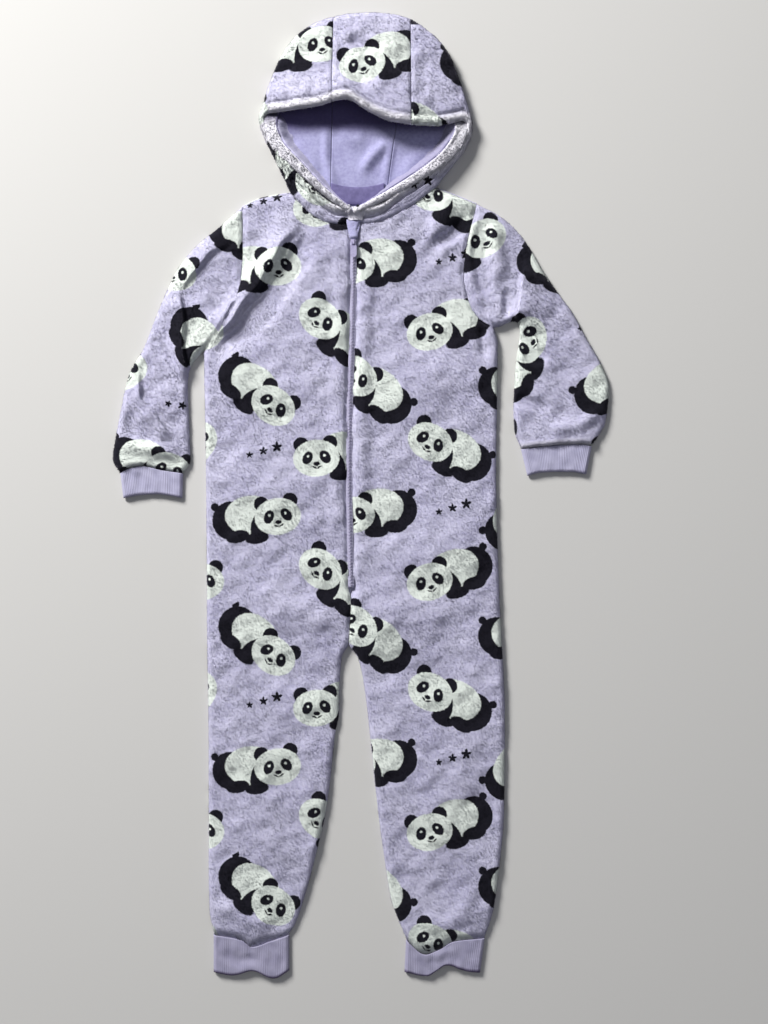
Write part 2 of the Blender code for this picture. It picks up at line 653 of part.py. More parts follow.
def hood_section(rim, rim_z, fold, fold_z, neck, floor_z):
    """Outer and inner points of one section, from the rim over the fold and back to the neck."""
    length = math.dist(rim, fold)
    turn = min(0.62 * fold_z, 0.45 * length)
    middle_z = (floor_z + fold_z) / 2
    hem = min(hem_width, 0.4 * length) / length
    start = 1 - turn / length
    fractions = [0.0, hem * 0.5, hem, hem * 1.12]
    fractions += [fractions[-1] + (start - fractions[-1]) * i / 4 for i in range(1, 4)]
    outer, inner = [], []

    def top(f):
        return rim_z + (fold_z - rim_z) * ease(f * 1.1)

    for f in fractions:
        x, y = blend(rim, fold, f)
        thick = fleece_wall + (hem_extra if f <= hem * 1.01 else 0.0)
        outer.append((x, y, top(f)))
        inner.append((x, y, max(floor_z + fleece_wall + 0.5, top(f) - thick)))
    to_rim = ((rim[0] - fold[0]) / length, (rim[1] - fold[1]) / length)
    back = math.dist(fold, neck)
    to_neck = ((neck[0] - fold[0]) / back, (neck[1] - fold[1]) / back)
    for angle in turn_angles:
        c, s = math.cos(math.radians(angle)), math.sin(math.radians(angle))
        far = turn * (1 - c)
        outer.append((fold[0] + to_rim[0] * far, fold[1] + to_rim[1] * far,
                      middle_z + (fold_z - middle_z) * s))
        far += fleece_wall * c
        inner.append((fold[0] + to_rim[0] * far, fold[1] + to_rim[1] * far,
                      middle_z + (fold_z - fleece_wall - middle_z) * s))
    under_turn = min(0.6 * fold_z, 0.3 * back)
    for angle in reversed(turn_angles[:-1]):
        c, s = math.cos(math.radians(angle)), math.sin(math.radians(angle))
        far = under_turn * (1 - c)
        outer.append((fold[0] + to_neck[0] * far, fold[1] + to_neck[1] * far,
                      middle_z - (middle_z - floor_z) * s))
        far += fleece_wall * c
        inner.append((fold[0] + to_neck[0] * far, fold[1] + to_neck[1] * far,
                      middle_z - (middle_z - floor_z - fleece_wall) * s))
    for i in range(1, 5):
        x, y = blend((fold[0] + to_neck[0] * under_turn, fold[1] + to_neck[1] * under_turn), neck, i / 4)
        outer.append((x, y, floor_z))
        inner.append((x, y, floor_z + fleece_wall))
    return outer, inner


def station(data, t, shift=0.0):
    rim = (at(data, "rim_x", t) + shift, at(data, "rim_y", t))
    fold = (at(data, "fold_x", t) + shift, at(data, "fold_y", t))
    neck = (at(data, "neck_x", t) + shift, at(data, "neck_y", t) + seam_gap)
    return rim, at(data, "rim_z", t), fold, at(data, "fold_z", t), neck


def hood_side_sections(side):
    data, sections = hood_sides[side], []
    sign = -1 if side == "right" else 1
    for i in range(side_stations):
        t = i / (side_stations - 1)
        lift = (fleece_wall + seam_gap) * ease((t - 0.93) / 0.07)
        sections.append(hood_section(*station(data, t, sign * seam_gap / 2 * (i == 0)), lift))
    neck_points = top_row(side)[neck_column:]
    rims = along(neck_rims[side], [i / (len(neck_points) - 1) for i in range(len(neck_points))])
    for i, (seam, rim) in enumerate(zip(neck_points, rims)):
        if i == 0:
            continue
        length = math.dist(seam, rim)
        fold = blend(seam, rim, seam_gap / length)
        turned = blend(seam, rim, neck_allowance / length)
        height = upper_height(*seam) + 1.5
        sections.append(hood_section(rim, neck_rim_height, fold, height, turned,
                                     fleece_wall + seam_gap))
    return sections


def make_hood(name, sections):
    points, faces = sheet_solid([s[0] for s in sections], [s[1] for s in sections])
    return add_object(name, points, faces, "plush fleece", fleece_lilac)


def hood_centre_sections():
    sections = []
    for i in range(centre_stations):
        t = i / (centre_stations - 1)
        shift = seam_gap / 2 * ((i == 0) - (i == centre_stations - 1))
        sections.append(hood_section(*station(hood_centre, t, shift), 0.0))
    return sections


# Backs, which lie flat on the floor
def inset(outline, amount):
    """Move each point of a closed outline inwards, along the mean of its two edges' normals."""
    area = sum(a[0] * b[1] - b[0] * a[1] for a, b in zip(outline, outline[1:] + outline[:1]))
    turn = 1 if area > 0 else -1
    moved = []
    for before, here, after in zip(outline[-1:] + outline[:-1], outline, outline[1:] + outline[:1]):
        dx, dy = after[0] - before[0], after[1] - before[1]
        length = math.hypot(dx, dy)
        moved.append((here[0] - turn * dy / length * amount, here[1] + turn * dx / length * amount))
    return moved


def back_outline(side):
    sign = -1 if side == "right" else 1
    front = front_rows(side)
    body = [row[0] for row in front[:len(body_steps)]]
    arm = armhole_points(side)
    armhole = [arm[0]] + [arm[column_count - 1 - j] for j in under_columns] + [arm[-1]]
    armhole = [(x - sign * seam_gap, y) for x, y in armhole]
    shoulder = top_row(side)[1:neck_column]
    data = hood_sides[side]
    neck = []
    for i in range(side_stations - 2, -1, -1):
        t = i / (side_stations - 1)
        neck.append((at(data, "neck_x", t), at(data, "neck_y", t)))
    middle = zip_x(nape_y)
    neck.append((middle - sign * seam_gap / 2, nape_y))
    centre = [(zip_x(y) - sign * seam_gap / 2, y) for y in (800, 600, zip_bottom, crotch_y + 3)]
    leg = [row[-1] for row in front[1:len(body_steps)] if row[-1][1] < crotch_y - 1][::-1]
    hem = seam_row(ankle_seams[side])
    ankle = [hem[-1]] + [hem[j] for j in under_columns]
    return body + armhole + shoulder + neck + centre + leg + ankle


def make_back(side):
    outline = inset(back_outline(side), seam_gap)
    count = len(outline)
    low = inset(outline, sole_chamfer)
    points = [(x, y, 0.0) for x, y in low] + [(x, y, sole_chamfer) for x, y in outline]
    points += [(x, y, fleece_wall) for x, y in outline]
    faces = [tuple(range(count)), tuple(range(3 * count - 1, 2 * count - 1, -1))]
    for level in (0, count):
        for i in range(count):
            j = (i + 1) % count
            faces.append((level + j, level + i, level + count + i, level + count + j))
    return add_object("back_" + side, points, turned_out(points, faces), "plush fleece", fleece_lilac)


# Zip
tape_low, tape_high = 6.2, 7.2
coil_low, coil_high, coil_half = 7.5, 9.3, 1.9
zip_rows = 20


def strip_solid(profile, start, end, rows):
    """A bar of one cross-section, a list of (across, height), that follows the zip's line."""
    sections = []
    for i in range(rows):
        y = start + (end - start) * i / (rows - 1)
        sections.append([(zip_x(y) + across, y, z) for across, z in profile])
    count = len(profile)
    points = [p for section in sections for p in section]
    faces = [tuple(range(count)), tuple(range((rows - 1) * count, rows * count))[::-1]]
    for i in range(rows - 1):
        for j in range(count):
            k = (j + 1) % count
            faces.append((i * count + k, i * count + j, (i + 1) * count + j, (i + 1) * count + k))
    return points, turned_out(points, faces)


def make_zip():
    reach = zip_half_width - seam_gap
    for side, sign in (("right", -1), ("left", 1)):
        profile = [(sign * seam_gap / 2, tape_low), (sign * reach, tape_low), (sign * reach, tape_high),
                   (sign * seam_gap / 2, tape_high)]
        points, faces = strip_solid(profile, zip_bottom + 3, zip_top, zip_rows)
        add_object("zip_tape_" + side, points, faces, "woven tape", tape_lilac)
    angles = [0, 40, 90, 140, 180]
    profile = [(coil_half * math.cos(math.radians(a)),
                coil_low + (coil_high - coil_low) * math.sin(math.radians(a))) for a in angles]
    points, faces = strip_solid(profile, zip_bottom + 5, zip_top - 8, zip_rows)
    add_object("zip_coil", points, faces, "nylon coil", coil_lilac)


slider_y = 920.0
slider_low = 9.6
plate_high = 11.4
slider_length, slider_wide, slider_narrow = 9.0, 7.0, 5.0
hinge_height = 12.8      # the pull tab's bar turns here
bridge_half = 1.1        # the bridge that holds the bar, half its width
bridge_inner, bridge_outer = 1.8, 3.0
bridge_roof, bridge_top = 13.8, 14.7
bridge_step = 0.1        # the roof's top stands this much above its feet
bar_half = 0.5
arm_inner, arm_outer = 1.6, 2.7
pull_eye = 4.6
pull_length, pull_half = 19.0, 3.9


def prism(outline, low, high):
    count = len(outline)
    points = [(x, y, low) for x, y in outline] + [(x, y, high) for x, y in outline]
    faces = [tuple(range(count)), tuple(range(count, 2 * count))[::-1]]
    faces += [((i + 1) % count, i, count + i, count + (i + 1) % count) for i in range(count)]
    return points, turned_out(points, faces)


def box(x0, x1, y0, y1, z0, z1):
    return prism([(x0, y0), (x1, y0), (x1, y1), (x0, y1)], z0, z1)


def joined(main, name, points, faces):
    """Join a further shape to an object with a Boolean union."""
    helper = add_object(name, points, faces, main.data.materials[0].name, slider_lilac)
    helper.hide_render = True
    helper.display_type = "WIRE"
    union = main.modifiers.new("join " + name, "BOOLEAN")
    union.operation = "UNION"
    union.solver = "EXACT"
    union.object = helper


def make_slider():
    x, y = zip_x(slider_y), slider_y
    half = slider_length / 2
    shield = [(x - slider_narrow / 2, y - half), (x + slider_narrow / 2, y - half),
              (x + slider_wide / 2, y + half * 0.3), (x + slider_wide / 2 - 0.8, y + half),
              (x + 1.0, y + half * 0.86), (x - 1.0, y + half * 0.86),
              (x - slider_wide / 2 + 0.8, y + half), (x - slider_wide / 2, y + half * 0.3)]
    points, faces = prism(shield, slider_low, plate_high)
    body = add_object("zip_slider", points, faces, "painted zinc", slider_lilac)
    for name, y0, y1, z0 in (("bridge_foot", -bridge_outer, -bridge_inner, plate_high - 0.5),
                             ("bridge_head", bridge_inner, bridge_outer, plate_high - 0.5),
                             ("bridge_roof", -bridge_outer + 0.2, bridge_outer - 0.2, bridge_roof)):
        top = bridge_top if z0 == bridge_roof else bridge_top - bridge_step
        points, faces = box(x - bridge_half, x + bridge_half, y + y0, y + y1, z0, top)
        joined(body, name, points, faces)


def make_pull():
    """The tab lies over the zip, pointing down it, and swings up about the bar in the bridge."""
    x, y, z = zip_x(slider_y), slider_y, hinge_height
    tip = y - pull_length
    tab = [(x - arm_outer, y + bar_half), (x + arm_outer, y + bar_half), (x + arm_outer, y - 3.0),
           (x + pull_half, y - 6.0), (x + pull_half, tip + 2.5), (x + pull_half - 2.0, tip),
           (x - pull_half + 2.0, tip), (x - pull_half, tip + 2.5), (x - pull_half, y - 6.0),
           (x - arm_outer, y - 3.0)]
    points, faces = prism(tab, z - bar_half, z + bar_half)
    made = add_object("zip_pull", points, faces, "painted zinc", slider_lilac)
    eye_points, eye_faces = box(x - arm_inner, x + arm_inner, y - pull_eye, y - bar_half, z - 2, z + 2)
    cutter = add_object("pull_eye_cutter", eye_points, eye_faces, "painted zinc", slider_lilac)
    cutter.hide_render = True
    cutter.display_type = "WIRE"
    cut = made.modifiers.new("eye", "BOOLEAN")
    cut.operation = "DIFFERENCE"
    cut.solver = "EXACT"
    cut.object = cutter


guard_top, guard_bottom = 948.0, 928.0
guard_wide, guard_narrow = 8.6, 5.2
guard_thickness = 2.6
guard_rows = 6


def make_chin_guard():
    """The folded tab of cloth over the zip's upper end, lying on both fronts."""
    outer, inner = [], []
    for i in range(guard_rows):
        f = i / (guard_rows - 1)
        y = guard_top + (guard_bottom - guard_top) * f
        half = guard_wide + (guard_narrow - guard_wide) * ease(f)
        low, high = [], []
        for across in (-1.0, -0.7, 0.0, 0.7, 1.0):
            x = zip_x(y) + across * half
            base = max(upper_height(x, y), coil_high) + seam_gap
            low.append((x, y, base))
            high.append((x, y, base + guard_thickness * (1 - 0.55 * across * across)))
        outer.append(high)
        inner.append(low)
    points, faces = sheet_solid(outer, inner)
    add_object("chin_guard", points, faces, "plush fleece", fleece_lilac)


for old in list(bpy.data.objects):
    bpy.data.objects.remove(old, do_unlink=True)
garment = bpy.data.objects.new("garment", None)
bpy.context.scene.collection.objects.link(garment)

for wearer_side in ("right", "left"):
    make_back(wearer_side)
    make_front(wearer_side)
    make_sleeve(wearer_side)
    make_hood("hood_" + wearer_side, hood_side_sections(wearer_side))
for cuff_name in cuffs:
    make_cuff(cuff_name)
make_hood("hood_centre", hood_centre_sections())
make_zip()
make_slider()
make_pull()
make_chin_guard()
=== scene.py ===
import math
import bpy
import numpy as np
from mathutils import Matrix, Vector


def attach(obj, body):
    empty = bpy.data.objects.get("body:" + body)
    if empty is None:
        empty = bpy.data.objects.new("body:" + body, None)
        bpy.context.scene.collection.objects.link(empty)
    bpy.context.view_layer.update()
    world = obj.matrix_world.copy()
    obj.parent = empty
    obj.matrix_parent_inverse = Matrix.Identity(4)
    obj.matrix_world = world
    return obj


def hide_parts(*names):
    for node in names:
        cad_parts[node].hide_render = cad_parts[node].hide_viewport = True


# Child's hooded plush onesie, laid flat. Tables are in millimetres: x from the middle of the front,
# y from the ends of the ankle cuffs towards the hood. Left and right are the wearer's.

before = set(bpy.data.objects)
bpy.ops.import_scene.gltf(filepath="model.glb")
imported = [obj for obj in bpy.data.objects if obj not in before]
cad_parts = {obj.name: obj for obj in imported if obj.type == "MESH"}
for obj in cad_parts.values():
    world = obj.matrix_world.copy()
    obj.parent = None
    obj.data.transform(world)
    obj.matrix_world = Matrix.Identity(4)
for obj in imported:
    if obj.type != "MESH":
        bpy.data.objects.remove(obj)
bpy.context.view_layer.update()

layout = {
    "middleX": 12.85, "middleY": 603.29,     # the middle of the laid-out garment, the origin
    "wall": 3.0, "gap": 0.3,                 # plush fleece with its pile, and the room at a seam
    "loft": 9.8, "lowestTop": 6.8,           # height of the upper layer
    "creaseDepth": 1.35,
    "edgeReach": 9.0,                        # how far in from a folded side it is fully high
    "pileDepth": 1.3,                        # the ground of the cloth lies this far under the pile
    "ground": 1.4,                           # thickness of the ground
    "rests": 0.2, "insideRests": 1.0,        # how far a tube's underside, and its inside, lie over the floor
    "zipHalf": 2.8, "zipBottom": 486.0, "crotchY": 415.0, "napeY": 966.0,
}


def table(columns, rows):
    return {name: np.array([row[i] for row in rows], float) for i, name in enumerate(columns.split())}


def placed(points):
    shifted = np.asarray(points, float) - (layout["middleX"], layout["middleY"], 0.0)
    return shifted * 0.001


def raised(flat, z):
    return np.concatenate([flat, z[..., None]], axis=-1)


# Curves and folds

def curveAt(knots, values, t):
    # a smooth curve through the values that never swings past them
    k, v, t = np.asarray(knots, float), np.asarray(values, float), np.asarray(t, float)
    h = np.diff(k)
    d = np.diff(v) / h
    m = np.empty(len(k))
    m[0], m[-1] = d[0], d[-1]
    for j in range(1, len(k) - 1):
        m[j] = 0.0 if d[j - 1] * d[j] <= 0 else 2 * d[j - 1] * d[j] / (d[j - 1] + d[j])
    i = np.clip(np.searchsorted(k, t, side="right") - 1, 0, len(k) - 2)
    f = (t - k[i]) / h[i]
    return ((1 + 2 * f) * (1 - f) ** 2 * v[i] + f * (1 - f) ** 2 * h[i] * m[i]
            + f * f * (3 - 2 * f) * v[i + 1] - f * f * (1 - f) * h[i] * m[i + 1])


def pointsAt(data, t, x="x", y="y"):
    return np.stack([curveAt(data["t"], data[x], t), curveAt(data["t"], data[y], t)], axis=-1)


def alongPath(path, f):
    p = np.asarray(path, float)
    run = np.concatenate([[0.0], np.cumsum(np.linalg.norm(np.diff(p, axis=0), axis=1))])
    return np.stack([curveAt(run / run[-1], p[:, axis], f) for axis in range(p.shape[1])], axis=-1)


def ease(f):
    f = np.clip(f, 0.0, 1.0)
    return f * f * (3 - 2 * f)


def nearestOn(points, path):
    # distance, side (positive on the left of the way the path runs) and share of the way along
    p = np.asarray(path, float)
    flat = points.reshape(-1, 2)
    lengths = np.linalg.norm(np.diff(p, axis=0), axis=1)
    total, run = lengths.sum(), 0.0
    best = np.full(len(flat), np.inf)
    side, way = np.zeros(len(flat)), np.zeros(len(flat))
    for a, b, length in zip(p, p[1:], lengths):
        u = (b - a) / length
        rel = flat - a
        f = np.clip(rel @ u, 0.0, length)
        off = rel - f[:, None] * u
        distance = np.hypot(off[:, 0], off[:, 1])
        closer = distance < best
        best = np.where(closer, distance, best)
        side = np.where(closer, u[0] * off[:, 1] - u[1] * off[:, 0], side)
        way = np.where(closer, (run + f) / total, way)
        run += length
    shape = points.shape[:-1]
    return best.reshape(shape), side.reshape(shape), way.reshape(shape)


def foldHeight(points, folds, fade=0.3):
    # every fold dies away over its first and last share, fade, of the way
    height = np.zeros(points.shape[:-1])
    for path, left, right, rise in folds:
        distance, side, way = nearestOn(points, path)
        width = np.where(side > 0, left, right)
        height += (rise * ease(1 - distance / width)
                   * ease(np.minimum(way, 1 - way) / fade + 0.1))
    return height


def ripple(points, wavelength, seed, count=9):
    # slow uneven waves, about -1 to 1
    rng = np.random.default_rng(seed)
    total = np.zeros(points.shape[:-1])
    for _ in range(count):
        angle = rng.uniform(0, 2 * math.pi)
        k = 2 * math.pi / (wavelength * rng.uniform(0.6, 1.6))
        phase = rng.uniform(0, 2 * math.pi)
        total += np.sin(k * (points[..., 0] * math.cos(angle) + points[..., 1] * math.sin(angle)) + phase)
    return total / math.sqrt(count)


# The garment's outline

zipLine = table("t x", [(415, -2), (486, 1.5), (540, 0.5), (624, -1), (724, 0),
                        (790, 2.5), (880, 4.5), (970, 4.5)])
sides = {
    "right": table("t x y", [(0.00, -171, 55), (0.04, -177, 88), (0.10, -178, 140), (0.30, -178, 283),
                             (0.50, -180, 430), (0.75, -181, 600), (1.00, -184, 784)]),
    "left": table("t x y", [(0.00, 169, 51), (0.04, 179, 80), (0.10, 186, 122), (0.22, 194, 215),
                            (0.38, 195, 326), (0.52, 191, 424), (0.60, 188, 480), (0.80, 184, 640),
                            (0.97, 186, 793), (1.00, 181, 814)])}
innerLegs = {
    "right": table("t x", [(55, -76), (61, -71), (109, -54), (165, -39), (217, -28), (275, -21),
                           (309, -17), (329, -13), (372, -12), (404, -9), (415, -2)]),
    "left": table("t x", [(48, 70), (60, 65), (100, 50), (151, 42), (209, 34), (295, 25),
                          (357, 18), (398, 10), (408, 5), (415, -2)])}
ankleStart = {"right": 55.0, "left": 48.0}
ankleSeams = {"right": [(-171, 55), (-137, 49), (-122, 40), (-100, 47), (-76, 55)],
              "left": [(169, 51), (131, 47), (112, 37), (94, 31), (70, 48)]}
armholes = {"right": [(-184, 784), (-162, 811), (-146, 842), (-136, 879), (-134, 911), (-134, 939),
                      (-135, 967)],
            "left": [(181, 814), (163, 824), (149, 845), (142, 880), (144, 904), (150, 936), (159, 970)]}
shoulders = {"right": [(-135, 967), (-113, 977), (-76, 984)],
             "left": [(159, 970), (140, 978), (109, 990)]}
frontNecks = {"right": [(-76, 984), (-62, 968), (-46, 953), (-28, 945), (-11, 943), (0.5, 949)],
              "left": [(109, 990), (94, 978), (75, 964), (54, 953), (31, 945), (16, 944), (8.5, 949)]}
backNecks = {"right": [(-76, 984), (-60, 976), (-40, 973), (-23, 970), (4.4, 966)],
             "left": [(109, 990), (84, 983), (60, 973), (45, 970), (4.6, 966)]}
sleeveColumns = "t overX overY underX underY"
sleeves = {
    "right": table(sleeveColumns, [
        (0.00, -135, 967, -184, 784), (0.12, -162, 943, -188, 780), (0.24, -194, 916, -194, 773),
        (0.36, -216, 889, -199, 765), (0.48, -232, 856, -202, 755), (0.60, -247, 820, -203, 736),
        (0.70, -259, 789, -202, 716), (0.80, -277, 757, -201, 695), (0.90, -290, 699, -200, 667),
        (0.96, -298, 650, -199, 648), (1.00, -288, 632, -209, 632)]),
    "left": table(sleeveColumns, [
        (0.00, 159, 970, 181, 814), (0.10, 181, 959, 189, 816), (0.20, 204, 942, 198, 820),
        (0.30, 225, 916, 205, 822), (0.40, 241, 888, 211, 818), (0.50, 260, 860, 212, 806),
        (0.60, 279, 834, 210, 791), (0.70, 297, 801, 207, 770), (0.80, 315, 769, 205, 739),
        (0.88, 325, 739, 204, 714), (0.95, 321, 697, 205, 686), (1.00, 303, 666, 214, 662)])}
wristSeams = {"right": [(-288, 632), (-276, 638), (-261, 641), (-236, 636), (-209, 632)],
              "left": [(303, 666), (284, 668), (262, 667), (240, 665), (214, 662)]}
cuffs = {
    "wrist_right": (wristSeams["right"], [(-284, 601), (-262, 605), (-243, 606), (-225, 604), (-210, 601)]),
    "wrist_left": (wristSeams["left"], [(296, 631), (276, 634), (258, 634), (238, 633), (222, 629)]),
    "ankle_right": (ankleSeams["right"], [(-171, 8), (-147, 4), (-122, 10), (-96, 0), (-76, 10)]),
    "ankle_left": (ankleSeams["left"], [(163, 7), (146, 9), (122, 17), (95, 3), (68, 8)])}

# Creases of the upper layer: the way each runs, how wide it is on its left and its right, and how
# far it rises or sinks
creases = [
    # wearer's right arm and chest
    ([(-60, 950), (-82, 918), (-113, 868), (-150, 820), (-184, 790)], 7, 30, 6.5),
    ([(-50, 938), (-72, 902), (-102, 853), (-140, 806), (-172, 778)], 26, 8, -5.0),
    ([(-150, 928), (-176, 903), (-196, 881), (-212, 858)], 4, 20, 3.6),
    ([(-216, 872), (-211, 832), (-207, 790), (-203, 745)], 5, 22, 4.5),
    ([(-134, 856), (-149, 843), (-158, 828), (-163, 808)], 5, 14, 3.0),
    ([(-266, 764), (-258, 728), (-238, 696), (-216, 668)], 5, 24, 5.0),
    ([(-276, 712), (-266, 684), (-252, 662)], 12, 14, -3.0),
    ([(-292, 668), (-262, 664), (-232, 660), (-205, 656)], 14, 12, 3.0),
    # wearer's left arm and chest
    ([(154, 962), (134, 940), (110, 918), (92, 900)], 14, 14, -5.0),
    ([(166, 952), (160, 920), (162, 884), (172, 846)], 16, 12, -4.0),
    ([(178, 944), (182, 905), (186, 870)], 18, 14, 4.5),
    ([(120, 978), (112, 940), (108, 900)], 18, 18, 4.0),
    ([(222, 900), (215, 868), (211, 838), (208, 808)], 48, 5, 5.5),
    ([(196, 866), (198, 842), (196, 824)], 10, 10, -3.0),
    ([(204, 730), (226, 720), (248, 706)], 11, 13, -3.5),
    ([(212, 808), (226, 786), (248, 770)], 16, 17, -4.2),
    ([(162, 820), (165, 798), (172, 776)], 8, 8, -2.5),
    ([(318, 716), (286, 694), (244, 684)], 14, 14, 3.0),
    # chest and body
    ([(-170, 770), (-110, 742), (-30, 735)], 45, 55, 2.4),
    ([(165, 780), (110, 745), (40, 738)], 45, 55, 2.2),
    ([(-165, 650), (-100, 612), (-25, 600)], 50, 45, 1.8),
    ([(170, 570), (110, 535), (30, 520)], 50, 45, 2.0),
    ([(-12, 940), (-14, 800), (-18, 640), (-14, 500)], 16, 14, 1.6),
    ([(22, 940), (20, 800), (14, 640), (18, 500)], 14, 16, 1.8),
    # hips, crotch and legs
    ([(2, 498), (5, 486), (7, 474)], 8, 10, -2.5),
    ([(-8, 436), (-60, 462), (-140, 474)], 40, 40, 2.6),
    ([(8, 432), (70, 456), (150, 464)], 40, 40, 2.4),
    ([(-20, 396), (-76, 384), (-140, 390)], 36, 36, -2.0),
    ([(20, 390), (80, 380), (150, 387)], 36, 36, -2.0),
    ([(-150, 330), (-112, 240), (-100, 130)], 45, 40, 2.0),
    ([(155, 320), (122, 220), (108, 120)], 40, 45, 2.0),
    ([(-166, 100), (-126, 78), (-92, 68)], 24, 22, 2.4),
    ([(164, 96), (124, 74), (84, 64)], 22, 24, 2.4),
]
seamDips = [
    (ankleSeams["right"], 8, 8, -3.0), (ankleSeams["left"], 8, 8, -3.0),
    (wristSeams["right"], 7, 7, -3.0), (wristSeams["left"], 7, 7, -3.0),
    (armholes["right"], 6, 6, -2.0), (armholes["left"], 6, 6, -2.0)]


def zipX(y):
    return curveAt(zipLine["t"], zipLine["x"], np.clip(y, zipLine["t"][0], zipLine["t"][-1]))


# Unevenness of the upper layer: height, length in x and in y, and start of each long wave, how far the
# creases wander, and the height, length and seed of the ripples
unevenness = {"waves": [(0.7, 31, 57, 0.0), (0.5, 47, -36, 1.3), (0.4, 19, 83, 0.4)],
              "wander": 2.2, "wanderLength": 60, "ripples": [(0.7, 38, 5), (0.3, 15, 6)]}


def upperHeight(points):
    x, y = points[..., 0], points[..., 1]
    waves = sum(high * np.sin(x / lengthX + y / lengthY + start)
                for high, lengthX, lengthY, start in unevenness["waves"])
    wander = np.stack([ripple(points, unevenness["wanderLength"], seed) for seed in (3, 4)], axis=-1)
    height = layout["loft"] + waves + layout["creaseDepth"] * foldHeight(
        points + wander * unevenness["wander"], creases)
    height += sum(high * ripple(points, length, seed) for high, length, seed in unevenness["ripples"])
    height += foldHeight(points, seamDips, 0.02)
    return np.maximum(layout["lowestTop"], height)


def sideFractions(width, fine, middle):
    # fine steps in from each side, even ones between
    near = np.asarray(fine) / width
    span = 1 - 2 * near[-1]
    inside = near[-1] + span * np.arange(1, middle + 1) / (middle + 1)
    return np.concatenate([near, inside, 1 - near[::-1]])


# Columns and rows of the cloth; stride is the inner wall's step. A bend is the share of the way over which
# the rows come to follow a seam, and the power by which they do.
clothGrid = {"fine": [0.0, 0.7, 1.8, 3.4, 5.6, 8.2], "middle": 55, "rowStep": 3.2, "stride": 3,
             "armholeLength": 200, "sleeveRows": 115, "ankleBend": (0.06, 1.5), "topBend": 2.2,
             "armholeBend": (0.5, 1.6), "wristBend": (0.3, 2)}


def bent(row, f, end, amount):
    # a straight row takes on some of the curve of the seam that it comes near
    chord = end[0] + (end[-1] - end[0]) * f[:, None]
    return row + (end - chord) * amount


def topCurve(side, neck, f, neckShare=0.40):
    shoulder = alongPath(shoulders[side], np.clip(f / neckShare, 0, 1))
    collar = alongPath(neck, np.clip((f - neckShare) / (1 - neckShare), 0, 1))
    return np.where((f < neckShare)[:, None], shoulder, collar)


def centreX(side, y, gapHalf):
    sign = -1 if side == "right" else 1
    legs = innerLegs[side]
    legX = curveAt(legs["t"], legs["x"], np.clip(y, legs["t"][0], layout["crotchY"]))
    return np.where(y < layout["crotchY"], legX, zipX(y) + sign * gapHalf)


def panelPlan(side, neck, topY, openHalf, grid):
    # rows from the ankle seam up to the shoulder and neck, from the side to the middle
    data, arm, start = sides[side], armholes[side], ankleStart[side]
    sideTop = data["y"][-1]
    bendShare, bendPower = clothGrid["ankleBend"]

    def rowFrom(outer, y, seam, amount):
        inner = np.array([float(centreX(side, np.array(y), openHalf(y))), y])
        f = sideFractions(np.linalg.norm(inner - outer), grid["fine"], grid["middle"])
        return bent(outer + (inner - outer) * f[:, None], f, seam(f), amount)

    rows = []
    for t in np.linspace(0, 1, int((sideTop - start) / grid["rowStep"])):
        outer = pointsAt(data, t)
        y = start + (sideTop - start) * (outer[1] - data["y"][0]) / (sideTop - data["y"][0])
        rows.append(rowFrom(outer, y, lambda f: alongPath(ankleSeams[side], f),
                            max(0.0, 1 - t / bendShare) ** bendPower))
    for share in np.linspace(0, 1, int(clothGrid["armholeLength"] / grid["rowStep"]))[1:]:
        outer = alongPath(arm, np.array([share]))[0]
        risen = (outer[1] - arm[0][1]) / (arm[-1][1] - arm[0][1])
        rows.append(rowFrom(outer, sideTop + (topY - sideTop) * risen, lambda f: topCurve(side, neck, f),
                            risen ** clothGrid["topBend"]))
    spare = (len(rows) - 1) % clothGrid["stride"]                # the inner wall takes every third row
    return np.array(rows[:1] + rows[1 + spare:])


def sleevePlan(side, grid):
    # rows from the armhole to the wrist seam, from the upper edge to the underarm
    data, rows = sleeves[side], []
    arm, wrist = armholes[side][::-1], wristSeams[side]
    armShare, armPower = grid["armholeBend"]
    wristShare, wristPower = grid["wristBend"]
    for t in np.linspace(0, 1, grid["sleeveRows"]):
        over, under = pointsAt(data, t, "overX", "overY"), pointsAt(data, t, "underX", "underY")
        f = sideFractions(np.linalg.norm(under - over), grid["fine"], grid["middle"])
        row = over + (under - over) * f[:, None]
        row = bent(row, f, alongPath(arm, f), max(0.0, 1 - t / armShare) ** armPower)
        toWrist = max(0.0, (t - (1 - wristShare)) / wristShare) ** wristPower
        rows.append(bent(row, f, alongPath(wrist, f), toWrist))
    return np.array(rows)


def silhouette(side):
    # the folded sides of the fleece, sampled closely so that no panel's edge lies outside them
    data, legs, arm = sides[side], innerLegs[side], sleeves[side]
    t = np.linspace(0, 1, 110)
    legY = np.linspace(legs["t"][0], layout["crotchY"], 60)
    return [pointsAt(data, t), np.stack([curveAt(legs["t"], legs["x"], legY), legY], axis=-1),
            pointsAt(arm, t, "overX", "overY"), pointsAt(arm, t, "underX", "underY"),
            alongPath(shoulders[side], np.linspace(0, 1, 7))]


fleeceEdges = silhouette("right") + silhouette("left")


def toEdges(points, edges, reach):
    distance = np.full(points.shape[:-1], float(reach))
    for edge in edges:
        distance = np.minimum(distance, nearestOn(points, edge)[0])
    return distance


# Meshes

def gridNormals(grid, ring=False):
    if ring:
        across = np.roll(grid, -1, axis=1) - np.roll(grid, 1, axis=1)
    else:
        across = np.gradient(grid, axis=1)
    normals = np.cross(across, np.gradient(grid, axis=0))
    return normals / np.maximum(np.linalg.norm(normals, axis=-1, keepdims=True), 1e-9)


